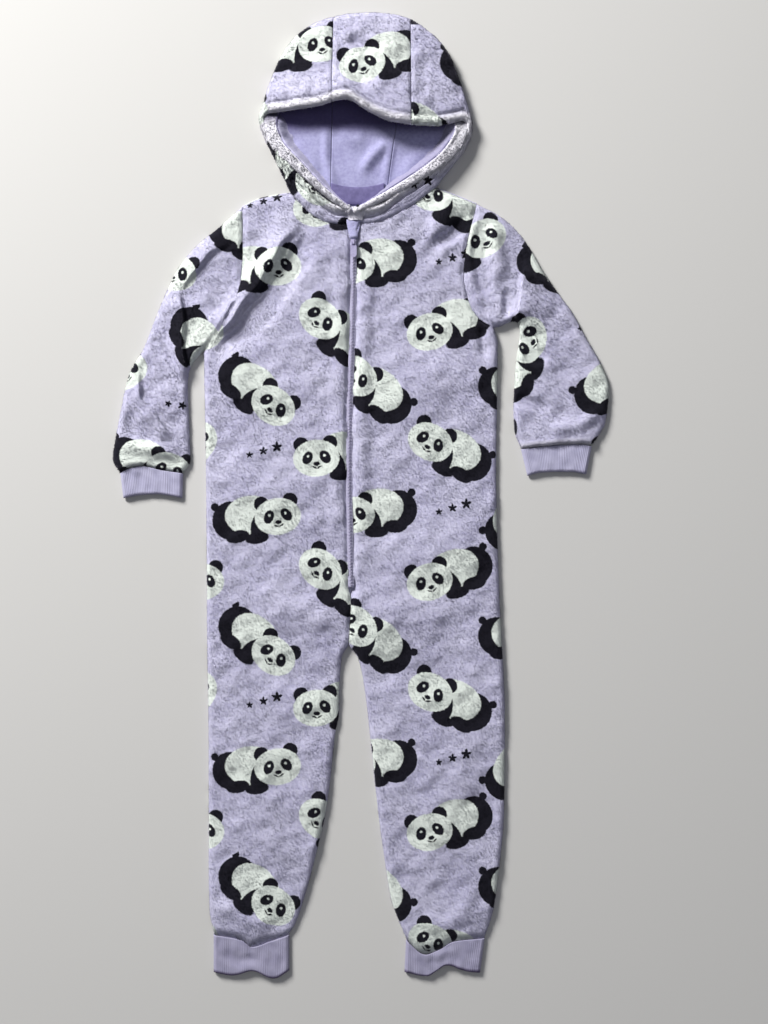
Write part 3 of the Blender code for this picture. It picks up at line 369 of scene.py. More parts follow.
def turnedOut(points, faces):
    volume = 0.0
    for size in sorted(set(map(len, faces))):
        group = np.array([face for face in faces if len(face) == size])
        for i in range(1, size - 1):
            volume += np.sum(points[group[:, 0]] * np.cross(points[group[:, i]], points[group[:, i + 1]]))
    return faces if volume > 0 else [tuple(reversed(face)) for face in faces]


def closedWall(outer, inner, ring=False, stride=3):
    # a fine outer grid and a coarser inner one, closed at every edge
    rows, columns = outer.shape[:2]
    inner = inner[::stride, ::stride]
    innerRows, innerColumns = inner.shape[:2]
    points = np.concatenate([outer.reshape(-1, 3), inner.reshape(-1, 3)])
    offset = rows * columns

    def o(i, j):
        return i * columns + j % columns

    def n(i, j):
        return offset + i * innerColumns + j % innerColumns

    faces = []
    for i in range(rows - 1):
        for j in range(columns if ring else columns - 1):
            faces.append((o(i, j), o(i, j + 1), o(i + 1, j + 1), o(i + 1, j)))
    for i in range(innerRows - 1):
        for j in range(innerColumns if ring else innerColumns - 1):
            faces.append((n(i + 1, j), n(i + 1, j + 1), n(i, j + 1), n(i, j)))
    last, lastInner = rows - 1, innerRows - 1
    for j in range(innerColumns if ring else innerColumns - 1):
        run = range(j * stride, (j + 1) * stride + 1)
        faces.append(tuple([o(0, k) for k in reversed(run)] + [n(0, j), n(0, j + 1)]))
        faces.append(tuple([o(last, k) for k in run] + [n(lastInner, j + 1), n(lastInner, j)]))
    if not ring:
        for i in range(innerRows - 1):
            run = range(i * stride, (i + 1) * stride + 1)
            faces.append(tuple([o(k, 0) for k in run] + [n(i + 1, 0), n(i, 0)]))
            faces.append(tuple([o(k, columns - 1) for k in reversed(run)]
                               + [n(i, innerColumns - 1), n(i + 1, innerColumns - 1)]))
    return points, faces


def meshPiece(name, points, faces, finish, smooth=True):
    mesh = bpy.data.meshes.new(name)
    mesh.from_pydata([tuple(p) for p in points], [], faces)
    mesh.materials.append(finish)
    if smooth:
        mesh.shade_smooth()
    mesh.update()
    piece = bpy.data.objects.new(name, mesh)
    bpy.context.scene.collection.objects.link(piece)
    return piece


def storeVector(piece, name, values):
    layer = piece.data.attributes.new(name, "FLOAT_VECTOR", "POINT")
    layer.data.foreach_set("vector", np.asarray(values, np.float32).reshape(-1))


def storeFloat(piece, name, values):
    layer = piece.data.attributes.new(name, "FLOAT", "POINT")
    layer.data.foreach_set("value", np.asarray(values, np.float32).reshape(-1))


def dress(piece, nodes):
    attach(piece, "garment")
    if nodes:
        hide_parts(*nodes)


def clothShell(name, outer, inner, clothMap, nap, finish, nodes=(), ring=False,
               stride=1, lining=None, hem=None, under=None):
    # attributes: the place on the cloth, where pile grows, where it is a pale hem, how much painted shade
    # darkens it
    points, faces = closedWall(placed(outer), placed(inner), ring, stride)
    piece = meshPiece(name, points, turnedOut(points, faces), finish)
    rows, columns = outer[::stride, ::stride].shape[:2]
    plain = np.zeros(rows * columns)
    flat = np.concatenate([clothMap.reshape(-1, 2), clothMap[::stride, ::stride].reshape(-1, 2)]) * 0.001
    storeVector(piece, "cloth", np.concatenate([flat, np.zeros((len(flat), 1))], axis=1))
    storeFloat(piece, "nap", np.concatenate([nap.reshape(-1), plain]))
    if hem is not None:
        storeFloat(piece, "hem", np.concatenate([hem.reshape(-1), plain]))
    if under is not None:
        outside = np.zeros(nap.size) if lining else under.reshape(-1)
        storeFloat(piece, "under", np.concatenate([outside, under[::stride, ::stride].reshape(-1)]))
    if lining:
        piece.data.materials.append(lining)
        first = (outer.shape[0] - 1) * (outer.shape[1] - 1)
        for face in list(piece.data.polygons)[first:first + (rows - 1) * (columns - 1)]:
            face.material_index = 1
    dress(piece, nodes)
    return piece


# Finishes

def linear(hexColour):
    channels = [int(hexColour[i:i + 2], 16) / 255 for i in (1, 3, 5)]
    return tuple(c / 12.92 if c <= 0.04045 else ((c + 0.055) / 1.055) ** 2.4 for c in channels) + (1.0,)


def connect(tree, node, inputs):
    # by name or number, either a value or another node's output
    for key, value in inputs.items():
        target = node.inputs[key] if isinstance(key, int) else next(
            s for s in node.inputs if s.name == key and s.enabled)
        if isinstance(value, bpy.types.NodeSocket):
            tree.links.new(value, target)
        else:
            target.default_value = value


def addNode(tree, kind, settings=None, inputs=None, tones=()):
    # a short kind is a shader node; tones are places and colours on a ramp, its two ends first
    node = tree.nodes.new(kind if "Node" in kind else "ShaderNode" + kind)
    for key, value in (settings or {}).items():
        setattr(node, key, value)
    for i, (position, hexColour) in enumerate(tones):
        elements = node.color_ramp.elements
        element = elements[i] if i < 2 else elements.new(position)
        element.position, element.color = position, linear(hexColour)
    connect(tree, node, inputs or {})
    return node


def newTree(name, kind, inputs, output):
    tree = bpy.data.node_groups.new(name, kind)
    for way, sockets in (("INPUT", inputs), ("OUTPUT", output)):
        for label, value in sockets.items():
            tree.interface.new_socket(name=label, in_out=way, socket_type="NodeSocket" + value)
    return tree, addNode(tree, "NodeGroupInput"), addNode(tree, "NodeGroupOutput")


def newMaterial(name, values):
    material = bpy.data.materials.new(name)
    material.use_nodes = True
    shader = material.node_tree.nodes["Principled BSDF"]
    for key, value in values.items():
        shader.inputs[key].default_value = value
    return material, material.node_tree, shader


printSize = {
    "columnPitch": 96.0, "rowPitch": 156.0,      # a half-drop repeat
    "cellSquash": 0.69,                          # a cell reaches this much further across than up
    "softness": 0.9,                             # mm, the pile blurs a printed edge this much
    "fuzz": 2.0,                                 # mm, and pushes it about this much
    "tilts": (20.0, -45.0, -12.0, 25.0),         # first turn, then what each parity adds
    "starGap": (6.0, 4.0),                       # where the stars lie between the pandas
    "starRadii": (4.6, 5.8, 7.2), "starStart": (-17.0, -3.0), "starStep": (17.0, 5.0), "starWaist": 0.42,
}
# The panda lies on its tummy with its head to the right: ink, middle, radii and turn of each patch
pandaBody = [("Ink", -35, -3, 23, 24, 0), ("Pale", -8, 3, 34, 25, 0), ("Ink", -26, -23, 15, 8, 12),
             ("Ink", 4, -8, 13, 21, -20), ("Ink", -2, -25, 15, 7, 8), ("Ink", -55, 14, 5, 5, 0)]
# Its head is the same left and right of its middle, which is placed and turned by the last row
pandaHead = [("Ink", 18, 18, 9.5, 9.5, 0), ("Pale", 0, 0, 29, 23, 0), ("Ink", 11, 1, 6.2, 8.6, 30),
             ("Pale", 10.2, 3.0, 1.6, 1.6, 0), ("Ink", 0, -7, 4.0, 2.6, 0), ("Ink", 3, -11.2, 3.4, 1.0, 28)]
pandaHeadPlace = (24.0, 2.0, 8.0)


def printGroup():
    group, source, sink = newTree("pandaPrint", "ShaderNodeTree", {
        "Cloth": "Vector", "Ground": "Color", "Ink": "Color", "Pale": "Color"}, {"Color": "Color"})
    wide, tall = 2 * printSize["columnPitch"], printSize["rowPitch"]

    def cellAt(place, shift, high):
        # the number of the repeat that a place lies in, and the place from the middle of that repeat
        moved = addNode(group, "VectorMath", {"operation": "SUBTRACT"},
                        {0: place, 1: (*shift, 0.0)}).outputs[0]
        number = addNode(group, "VectorMath", {"operation": "DIVIDE"}, {0: moved, 1: (wide, high, 1.0)})
        index = addNode(group, "VectorMath", {"operation": "FLOOR"}, {0: number.outputs[0]}).outputs[0]
        middle = addNode(group, "VectorMath", {"operation": "MULTIPLY_ADD"},
                         {0: index, 1: (wide, high, 1.0), 2: (wide / 2, high / 2, 0.0)})
        local = addNode(group, "VectorMath", {"operation": "SUBTRACT"}, {0: moved, 1: middle.outputs[0]})
        return index, local.outputs[0]

    inMillimetres = addNode(group, "VectorMath", {"operation": "SCALE"},
                            {0: source.outputs["Cloth"], "Scale": 1000.0}).outputs[0]
    fuzz = addNode(group, "TexNoise", {}, {"Vector": inMillimetres, "Scale": 0.55, "Detail": 1.0})
    centred = addNode(group, "VectorMath", {"operation": "SUBTRACT"},
                      {0: fuzz.outputs["Color"], 1: (0.5, 0.5, 0.5)}).outputs[0]
    place = addNode(group, "VectorMath", {"operation": "MULTIPLY_ADD"},
                    {0: centred, 1: (printSize["fuzz"],) * 2 + (0.0,), 2: inMillimetres}).outputs[0]

    # two sets of cells, the second half a repeat on: the nearer one counts
    cells = []
    for shift in ((0.0, 0.0), (wide / 2, tall / 2)):
        index, local = cellAt(place, shift, tall)
        squeezed = addNode(group, "VectorMath", {"operation": "MULTIPLY"},
                           {0: local, 1: (printSize["cellSquash"], 1.0, 0.0)}).outputs[0]
        away = addNode(group, "VectorMath", {"operation": "LENGTH"}, {0: squeezed}).outputs[1]
        cells.append((local, index, away))
    second = addNode(group, "Math", {"operation": "LESS_THAN"}, {0: cells[1][2], 1: cells[0][2]}).outputs[0]
    local, index = (addNode(group, "Mix", {"data_type": "VECTOR"},
                            {"Factor": second, "A": first, "B": other}).outputs[1]
                    for first, other in zip(cells[0][:2], cells[1][:2]))

    # each panda is turned and mirrored by the parity of its row and column
    parts = addNode(group, "SeparateXYZ", {}, {0: index})
    oddRow, oddColumn = (addNode(group, "Math", {"operation": "FLOORED_MODULO"},
                                 {0: parts.outputs[axis], 1: 2.0}).outputs[0] for axis in "YX")
    angle, *added = (math.radians(v) for v in printSize["tilts"])
    for parity, more in zip((oddRow, second, oddColumn), added):
        angle = addNode(group, "Math", {"operation": "MULTIPLY_ADD"},
                        {0: parity, 1: more, 2: angle}).outputs[0]
    turned = addNode(group, "VectorRotate", {"rotation_type": "Z_AXIS"},
                     {"Vector": local, "Angle": angle}).outputs[0]
    alike = addNode(group, "Math", {"operation": "COMPARE"}, {0: oddColumn, 1: second}).outputs[0]
    mirror = addNode(group, "Math", {"operation": "MULTIPLY_ADD"}, {0: alike, 1: -2.0, 2: 1.0}).outputs[0]
    flipper = addNode(group, "CombineXYZ", {}, {"X": mirror, "Y": 1.0, "Z": 0.0}).outputs[0]
    body = addNode(group, "VectorMath", {"operation": "MULTIPLY"}, {0: turned, 1: flipper}).outputs[0]
    headX, headY, headTurn = pandaHeadPlace
    head = addNode(group, "Mapping", {"vector_type": "TEXTURE"},
                   {"Vector": body, "Location": (headX, headY, 0.0),
                    "Rotation": (0.0, 0.0, math.radians(headTurn))}).outputs[0]
    headParts = addNode(group, "SeparateXYZ", {}, {0: head})
    fromMiddle = addNode(group, "Math", {"operation": "ABSOLUTE"}, {0: headParts.outputs["X"]}).outputs[0]
    head = addNode(group, "CombineXYZ", {}, {"X": fromMiddle, "Y": headParts.outputs["Y"]}).outputs[0]
    colour = source.outputs["Ground"]
    for field, shapes in ((body, pandaBody), (head, pandaHead)):
        for tone, x, y, rx, ry, turn in shapes:
            inside = addNode(group, "Mapping", {"vector_type": "TEXTURE"},
                             {"Vector": field, "Location": (x, y, 0.0),
                              "Rotation": (0.0, 0.0, math.radians(turn)), "Scale": (rx, ry, 1.0)})
            away = addNode(group, "VectorMath", {"operation": "LENGTH"}, {0: inside.outputs[0]}).outputs[1]
            soft = printSize["softness"] / min(rx, ry) / 2
            mask = addNode(group, "MapRange", {},
                           {"Value": away, "From Min": 1 + soft, "From Max": 1 - soft}).outputs[0]
            colour = addNode(group, "Mix", {"data_type": "RGBA"},
                             {"Factor": mask, "A": colour, "B": source.outputs[tone]}).outputs[2]

    # three small growing stars in every second gap between the pandas
    gapX, gapY = printSize["starGap"]
    starLocal = cellAt(place, (gapX, tall + gapY), 2 * tall)[1]
    for i, radius in enumerate(printSize["starRadii"]):
        centre = [start + step * i for start, step in zip(printSize["starStart"], printSize["starStep"])]
        offset = addNode(group, "VectorMath", {"operation": "SUBTRACT"},
                         {0: starLocal, 1: (*centre, 0.0)}).outputs[0]
        xy = addNode(group, "SeparateXYZ", {}, {0: offset})
        around = addNode(group, "Math", {"operation": "ARCTAN2"}, {0: xy.outputs["X"], 1: xy.outputs["Y"]})
        points = addNode(group, "Math", {"operation": "MULTIPLY"}, {0: around.outputs[0], 1: 5 / math.pi})
        wave = addNode(group, "Math", {"operation": "PINGPONG"}, {0: points.outputs[0], 1: 1.0}).outputs[0]
        limit = addNode(group, "MapRange", {}, {"Value": wave, "To Min": radius,
                                                "To Max": radius * printSize["starWaist"]}).outputs[0]
        away = addNode(group, "VectorMath", {"operation": "LENGTH"}, {0: offset}).outputs[1]
        depth = addNode(group, "Math", {"operation": "SUBTRACT"}, {0: limit, 1: away}).outputs[0]
        mask = addNode(group, "MapRange", {}, {"Value": depth, "From Min": -0.5, "From Max": 0.5}).outputs[0]
        colour = addNode(group, "Mix", {"data_type": "RGBA"},
                         {"Factor": mask, "A": colour, "B": source.outputs["Ink"]}).outputs[2]
    connect(group, sink, {"Color": colour})
    return group


plushColours = {"ground": "#BCBAD4", "deep": "#ABA8C9", "light": "#C9C7DE", "hem": "#DEDCE4",
                "ink": "#15141E", "pale": "#DCE3DE", "shaded": "#3C3160"}
pandaPrint = printGroup()


def plushMaterial(name, onPile, printed=True):
    # polyester coral fleece, knitted ground with a brushed pile: soft sheen, no gloss, a mottled nap
    material, tree, shader = newMaterial(name, {
        "Roughness": 0.92, "Specular IOR Level": 0.15, "Sheen Weight": 0.22, "Sheen Roughness": 0.45,
        "Sheen Tint": (0.82, 0.78, 1.0, 1.0)})
    cloth = addNode(tree, "Attribute", {"attribute_name": "cloth"}).outputs["Vector"]
    mottle = addNode(tree, "TexNoise", {}, {"Vector": cloth, "Scale": 260.0, "Detail": 3.0,
                                            "Roughness": 0.6}).outputs[0]                # 4 mm tufts
    broad = addNode(tree, "TexNoise", {}, {"Vector": cloth, "Scale": 22.0, "Detail": 2.0}).outputs[0]
    mixed = addNode(tree, "Math", {"operation": "MULTIPLY_ADD"}, {0: broad, 1: 0.5, 2: mottle})
    tones = [(0.46, plushColours["deep"]), (1.0, plushColours["light"]), (0.74, plushColours["ground"])]
    colour = addNode(tree, "ValToRGB", {}, {0: mixed.outputs[0]}, tones).outputs[0]
    # a turned edge shows more of the pale pile tips; far in under the brim painted shade darkens the cloth
    for attribute, tone in (("hem", "hem"), ("under", "shaded")):
        share = addNode(tree, "Attribute", {"attribute_name": attribute}).outputs["Fac"]
        colour = addNode(tree, "Mix", {"data_type": "RGBA"},
                         {"Factor": share, "A": colour, "B": linear(plushColours[tone])}).outputs[2]
    if printed:
        colour = addNode(tree, "Group", {"node_tree": pandaPrint},
                         {"Cloth": cloth, "Ground": colour, "Ink": linear(plushColours["ink"]),
                          "Pale": linear(plushColours["pale"])}).outputs[0]
    if onPile:
        # painted shade towards the root of each tuft and painted light at its tip
        tip = addNode(tree, "Attribute", {"attribute_name": "tip"}).outputs["Fac"]
        shade = addNode(tree, "MapRange", {}, {"Value": tip, "To Min": 0.95, "To Max": 1.07})
        colour = addNode(tree, "Mix", {"data_type": "RGBA", "blend_type": "MULTIPLY"},
                         {"Factor": 1.0, "A": colour, "B": shade.outputs[0]}).outputs[2]
        # a tuft takes the light mostly as the cloth under it does
        up = addNode(tree, "Attribute", {"attribute_name": "up"}).outputs["Vector"]
        own = addNode(tree, "NewGeometry").outputs["Normal"]
        leaning = addNode(tree, "Mix", {"data_type": "VECTOR"}, {"Factor": 0.95, "A": own, "B": up})
        relief = addNode(tree, "VectorMath", {"operation": "NORMALIZE"}, {0: leaning.outputs[1]})
    else:
        curls = addNode(tree, "TexNoise", {}, {"Vector": cloth, "Scale": 420.0, "Detail": 2.0})
        relief = addNode(tree, "Bump", {}, {"Strength": 0.25, "Distance": 0.0010, "Height": curls.outputs[0]})
    connect(tree, shader, {"Base Color": colour, "Normal": relief.outputs[0]})
    return material


def smoothFaceMaterial(name, deep, light):
    # the brushed inner face of the fleece: short, plain and velvety
    material, tree, shader = newMaterial(name, {
        "Roughness": 0.9, "Specular IOR Level": 0.15, "Sheen Weight": 0.12, "Sheen Roughness": 0.4,
        "Sheen Tint": (0.8, 0.75, 1.0, 1.0)})
    place = addNode(tree, "TexCoord").outputs["Object"]
    nap = addNode(tree, "TexNoise", {}, {"Vector": place, "Scale": 260.0, "Detail": 3.0}).outputs[0]
    broad = addNode(tree, "TexNoise", {}, {"Vector": place, "Scale": 30.0, "Detail": 2.0}).outputs[0]
    mixed = addNode(tree, "Math", {"operation": "MULTIPLY_ADD"}, {0: broad, 1: 0.6, 2: nap})
    ramp = addNode(tree, "ValToRGB", {}, {0: mixed.outputs[0]}, [(0.5, deep), (1.0, light)])
    bump = addNode(tree, "Bump", {}, {"Strength": 0.35, "Distance": 0.0006, "Height": nap})
    # painted shade: far in under the brim the cloth is made darker
    under = addNode(tree, "Attribute", {"attribute_name": "under"}).outputs["Fac"]
    colour = addNode(tree, "Mix", {"data_type": "RGBA"}, {
        "Factor": under, "A": ramp.outputs[0], "B": linear(plushColours["shaded"])})
    connect(tree, shader, {"Base Color": colour.outputs[2], "Normal": bump.outputs[0]})
    return material


def ribMaterial(name, deep, light, rim):
    # fine doubled rib in cotton and elastane: matt, with rows of stitches 1.2 mm apart
    material, tree, shader = newMaterial(name, {
        "Roughness": 0.85, "Specular IOR Level": 0.25, "Sheen Weight": 0.2, "Sheen Roughness": 0.5})
    cloth = addNode(tree, "Attribute", {"attribute_name": "cloth"}).outputs["Vector"]
    across = addNode(tree, "TexWave", {"wave_type": "BANDS", "bands_direction": "X"},
                     {"Vector": cloth, "Scale": 130.0, "Distortion": 0.6, "Detail": 1.0}).outputs[1]
    down = addNode(tree, "TexWave", {"wave_type": "BANDS", "bands_direction": "Y"},
                   {"Vector": cloth, "Scale": 260.0, "Distortion": 1.2, "Detail": 1.0}).outputs[1]
    knit = addNode(tree, "Math", {"operation": "MULTIPLY_ADD"}, {0: across, 1: 0.7, 2: down}).outputs[0]
    wear = addNode(tree, "TexNoise", {}, {"Vector": cloth, "Scale": 60.0, "Detail": 3.0}).outputs[0]
    mixed = addNode(tree, "Math", {"operation": "MULTIPLY_ADD"}, {0: knit, 1: 0.12, 2: wear})
    ramp = addNode(tree, "ValToRGB", {}, {0: mixed.outputs[0]}, [(0.3, deep), (0.8, light)])
    bump = addNode(tree, "Bump", {}, {"Strength": 0.35, "Distance": 0.0004, "Height": knit})
    # painted shade: the turned end is darker over its last 4 mm, for the shadow under the lifted hem
    toEnd = addNode(tree, "SeparateXYZ", {}, {0: cloth}).outputs["Y"]
    atEnd = addNode(tree, "MapRange", {}, {"Value": toEnd, "From Min": 0.0044, "From Max": 0.0014,
                                           "To Max": rim}).outputs[0]
    colour = addNode(tree, "Mix", {"data_type": "RGBA"},
                     {"Factor": atEnd, "A": ramp.outputs[0], "B": linear("#43315C")})
    connect(tree, shader, {"Base Color": colour.outputs[2], "Normal": bump.outputs[0]})
    return material


def tapeMaterial():
    # woven polyester zip tape, a herringbone 0.9 mm wide
    material, tree, shader = newMaterial("wovenZipTape", {"Roughness": 0.75, "Specular IOR Level": 0.3})
    place = addNode(tree, "TexCoord").outputs["Object"]
    weave = addNode(tree, "TexWave", {"wave_type": "BANDS", "bands_direction": "DIAGONAL"},
                    {"Vector": place, "Scale": 420.0, "Distortion": 0.4}).outputs[1]
    ramp = addNode(tree, "ValToRGB", {}, {0: weave}, [(0.0, "#A29EBA"), (1.0, "#BAB7D0")])
    bump = addNode(tree, "Bump", {}, {"Strength": 0.5, "Distance": 0.0003, "Height": weave})
    connect(tree, shader, {"Base Color": ramp.outputs[0], "Normal": bump.outputs[0]})
    return material


def coilMaterial():
    # moulded nylon monofilament: smooth, a little see-through, so it is lit softly from within
    material, tree, shader = newMaterial("nylonCoil", {
        "Roughness": 0.38, "Specular IOR Level": 0.5, "Subsurface Weight": 0.15,
        "Subsurface Radius": (0.6, 0.5, 0.8), "Subsurface Scale": 0.001})
    place = addNode(tree, "TexCoord").outputs["Object"]
    tone = addNode(tree, "TexNoise", {}, {"Vector": place, "Scale": 90.0, "Detail": 2.0})
    ramp = addNode(tree, "ValToRGB", {}, {0: tone.outputs[0]}, [(0.35, "#9692AD"), (0.7, "#AFABC5")])
    connect(tree, shader, {"Base Color": ramp.outputs[0]})
    return material


def paintedZincMaterial():
    # die-cast zinc under a thin coat of lilac paint: a soft gloss, with fine orange peel
    material, tree, shader = newMaterial("paintedZinc", {
        "Roughness": 0.36, "Specular IOR Level": 0.5, "Coat Weight": 0.25, "Coat Roughness": 0.2})
    place = addNode(tree, "TexCoord").outputs["Object"]
    peel = addNode(tree, "TexNoise", {}, {"Vector": place, "Scale": 900.0, "Detail": 2.0})
    tone = addNode(tree, "TexNoise", {}, {"Vector": place, "Scale": 250.0, "Detail": 3.0})
    ramp = addNode(tree, "ValToRGB", {}, {0: tone.outputs[0]}, [(0.3, "#9690B3"), (0.75, "#B0ABCA")])
    bump = addNode(tree, "Bump", {}, {"Strength": 0.15, "Distance": 0.0002, "Height": peel.outputs[0]})
    connect(tree, shader, {"Base Color": ramp.outputs[0], "Normal": bump.outputs[0]})
    return material


def threadMaterial():
    # spun polyester sewing thread, twisted
    material, tree, shader = newMaterial("sewingThread", {"Roughness": 0.6, "Specular IOR Level": 0.3})
    place = addNode(tree, "TexCoord").outputs["Object"]
    twist = addNode(tree, "TexWave", {"bands_direction": "DIAGONAL"}, {"Vector": place, "Scale": 900.0})
    ramp = addNode(tree, "ValToRGB", {}, {0: twist.outputs[1]}, [(0.0, "#5C4C86"), (1.0, "#7A6BA3")])
    connect(tree, shader, {"Base Color": ramp.outputs[0]})
    return material


plushGround = plushMaterial("coralFleeceGround", False)
plushPile = plushMaterial("coralFleecePile", True)
plainPile = plushMaterial("plainFleecePile", True, printed=False)
plainGround = plushMaterial("plainFleeceGround", False, printed=False)
fleeceInside = smoothFaceMaterial("brushedFleeceInside", "#8C89B1", "#A2A1C6")
# the inside of the back neck with painted shade: darker than the lining, for the shade between the collar's
# halves
napeShade = smoothFaceMaterial("napeInsidePaintedShade", "#5E5880", "#6D6791")
# the ankle cuffs' rib is given darker colours, and a darker end, than the wrists'
wristRib = ribMaterial("fineRibKnit", "#9997B4", "#B0AEC8", 0.25)
ankleRib = ribMaterial("fineRibKnitGrey", "#8986A2", "#A09DB6", 0.85)
zipTape = tapeMaterial()
nylonCoil = coilMaterial()
paintedZinc = paintedZincMaterial()
sewingThread = threadMaterial()
print("finishes made")


# The pile: leaning tufts grown over a shell by Geometry Nodes

pileSize = {
    "length": 0.0013, "width": 0.00064, "spacingArea": 3.1e-6, "seed": 4,      # metres and square metres
    "tuftSizes": (0.65, 1.25), "fullerAtHem": 0.45,
    "upright": 0.5, "clumpScale": 150.0,         # clumps of tufts 7 mm apart lean together,
    "clumpLean": (1.5, 1.5, 0.4), "combed": (-0.75, -1.05, -0.2),              # mostly towards the feet
    "strayLean": (0.3, 0.3, 0.15),
}


def pileTree():
    tree, source, sink = newTree("fleecePile", "GeometryNodeTree", {
        "Geometry": "Geometry", "Tufts per square metre": "Float", "Tuft length": "Float",
        "Tuft half width": "Float", "Seed": "Int", "Finish": "Material"}, {"Geometry": "Geometry"})
    nap = addNode(tree, "GeometryNodeInputNamedAttribute", {"data_type": "FLOAT"}, {"Name": "nap"})
    density = addNode(tree, "Math", {"operation": "MULTIPLY"},
                      {0: nap.outputs[0], 1: source.outputs["Tufts per square metre"]})
    scattered = addNode(tree, "GeometryNodeDistributePointsOnFaces", {"distribute_method": "RANDOM"},
                        {"Mesh": source.outputs["Geometry"], "Density": density.outputs[0],
                         "Seed": source.outputs["Seed"]})
    kept = addNode(tree, "GeometryNodeStoreNamedAttribute", {"data_type": "FLOAT_VECTOR", "domain": "POINT"},
                   {"Geometry": scattered.outputs["Points"], "Name": "up",
                    "Value": scattered.outputs["Normal"]})
    place = addNode(tree, "GeometryNodeInputPosition").outputs[0]
    clump = addNode(tree, "TexNoise", {}, {"Vector": place, "Scale": pileSize["clumpScale"], "Detail": 1.0})
    stray = pileSize["strayLean"]
    strand = addNode(tree, "FunctionNodeRandomValue", {"data_type": "FLOAT_VECTOR"},
                     {"Min": tuple(-lean for lean in stray), "Max": stray, "Seed": 7})
    clumpLean = addNode(tree, "VectorMath", {"operation": "MULTIPLY_ADD"},
                        {0: clump.outputs["Color"], 1: pileSize["clumpLean"], 2: pileSize["combed"]})
    lean = addNode(tree, "VectorMath", {"operation": "ADD"}, {0: clumpLean.outputs[0], 1: strand.outputs[0]})
    way = addNode(tree, "VectorMath", {"operation": "MULTIPLY_ADD"},
                  {0: scattered.outputs["Normal"], 1: (pileSize["upright"],) * 3, 2: lean.outputs[0]})
    turn = addNode(tree, "FunctionNodeAlignRotationToVector", {"axis": "Z"}, {"Vector": way.outputs[0]})
    smallest, largest = pileSize["tuftSizes"]
    size = addNode(tree, "FunctionNodeRandomValue", {"data_type": "FLOAT"},
                   {"Min": smallest, "Max": largest, "Seed": 11})
    hem = addNode(tree, "GeometryNodeInputNamedAttribute", {"data_type": "FLOAT"}, {"Name": "hem"})
    fuller = addNode(tree, "Math", {"operation": "MULTIPLY_ADD"},
                     {0: hem.outputs[0], 1: pileSize["fullerAtHem"], 2: 1.0})
    size = addNode(tree, "Math", {"operation": "MULTIPLY"}, {0: size.outputs[1], 1: fuller.outputs[0]})
    tuft = addNode(tree, "GeometryNodeMeshCone", {"fill_type": "NGON"},
                   {"Vertices": 3, "Radius Top": 0.0, "Radius Bottom": source.outputs["Tuft half width"],
                    "Depth": source.outputs["Tuft length"]})
    height = addNode(tree, "SeparateXYZ", {}, {0: place})
    tip = addNode(tree, "Math", {"operation": "DIVIDE"},
                  {0: height.outputs["Z"], 1: source.outputs["Tuft length"]})
    marked = addNode(tree, "GeometryNodeStoreNamedAttribute", {"data_type": "FLOAT", "domain": "POINT"},
                     {"Geometry": tuft.outputs["Mesh"], "Name": "tip", "Value": tip.outputs[0]})
    grown = addNode(tree, "GeometryNodeInstanceOnPoints", {},
                    {"Points": kept.outputs[0], "Instance": marked.outputs[0], "Rotation": turn.outputs[0],
                     "Scale": size.outputs[0]})
    real = addNode(tree, "GeometryNodeRealizeInstances", {}, {0: grown.outputs[0]})
    finished = addNode(tree, "GeometryNodeSetMaterial", {},
                       {"Geometry": real.outputs[0], "Material": source.outputs["Finish"]})
    connect(tree, sink, {"Geometry": finished.outputs[0]})
    return tree


fleecePile = pileTree()


def throughNodes(name, start, tree, values):
    # runs a Geometry Nodes tree on a mesh and keeps the result as a plain mesh
    holder = bpy.data.objects.new(name, start)
    bpy.context.scene.collection.objects.link(holder)
    modifier = holder.modifiers.new("made", "NODES")
    modifier.node_group = tree
    for item in tree.interface.items_tree:
        if item.in_out == "INPUT" and item.name in values:
            modifier[item.identifier] = values[item.name]
    bpy.context.view_layer.update()
    graph = bpy.context.evaluated_depsgraph_get()
    made = bpy.data.meshes.new_from_object(holder.evaluated_get(graph), depsgraph=graph)
    holder.modifiers.remove(modifier)
    holder.data = made
    made.name = name
    return holder


def growPile(shell, name, amount=1.0, length=1.0, seed=0, band=None, finish=None):
    # band limits the pile to a stretch of the piece, lowest and highest y in table millimetres
    start = shell.data.copy()
    if band:
        y = np.empty(len(start.vertices) * 3, np.float32)
        start.vertices.foreach_get("co", y)
        y = y.reshape(-1, 3)[:, 1] * 1000 + layout["middleY"]
        nap = np.empty(len(start.vertices), np.float32)
        start.attributes["nap"].data.foreach_get("value", nap)
        start.attributes["nap"].data.foreach_set("value", nap * ((y >= band[0]) & (y < band[1])))
    pile = throughNodes(name, start, fleecePile, {
        "Tufts per square metre": amount / pileSize["spacingArea"],
        "Tuft length": pileSize["length"] * length, "Tuft half width": pileSize["width"],
        "Seed": pileSize["seed"] + seed, "Finish": finish or plushPile})
    dress(pile, [])
    return pile


def layLoft(plan, height, edges, reach, wall):
    # rounded down to its foot along the edges, fully high at the reach from them
    cosine = 1 - toEdges(plan, edges, reach) / reach
    turn = np.sqrt(np.clip(1 - cosine * cosine, 0, 1))
    foot = wall + layout["gap"]
    return raised(plan, foot + (height - foot) * turn)


def outwards(surface, ring=False):
    normals = gridNormals(surface, ring)
    away = surface - surface.mean(axis=1, keepdims=True) if ring else np.array([0.0, 0.0, 1.0])
    return normals if np.sum(normals * away) > 0 else -normals


def sunk(surface, depth, lowest, ring=False):
    # the surface moved in by the depth, but never under the lowest height
    inside = surface - outwards(surface, ring) * np.broadcast_to(depth, surface.shape[:2])[..., None]
    inside[..., 2] = np.maximum(inside[..., 2], lowest)
    return inside


# Fronts: a plush upper layer from the ankle to the shoulder, rolled down to the zip

front = {"top": 949.0, "zipRoll": 6.5, "zipDrop": 2.6, "seamRoll": 5.0, "seamDrop": 2.2,
         "openBelow": 6.0, "openOver": 8.0,      # the fronts part from just below the zip's end
         "overBack": (0.4, 0.35),                # how far ground and inside stay over the back's wall
         "printShift": {"right": (18.0, -30.0), "left": (-26.0, 41.0)}}


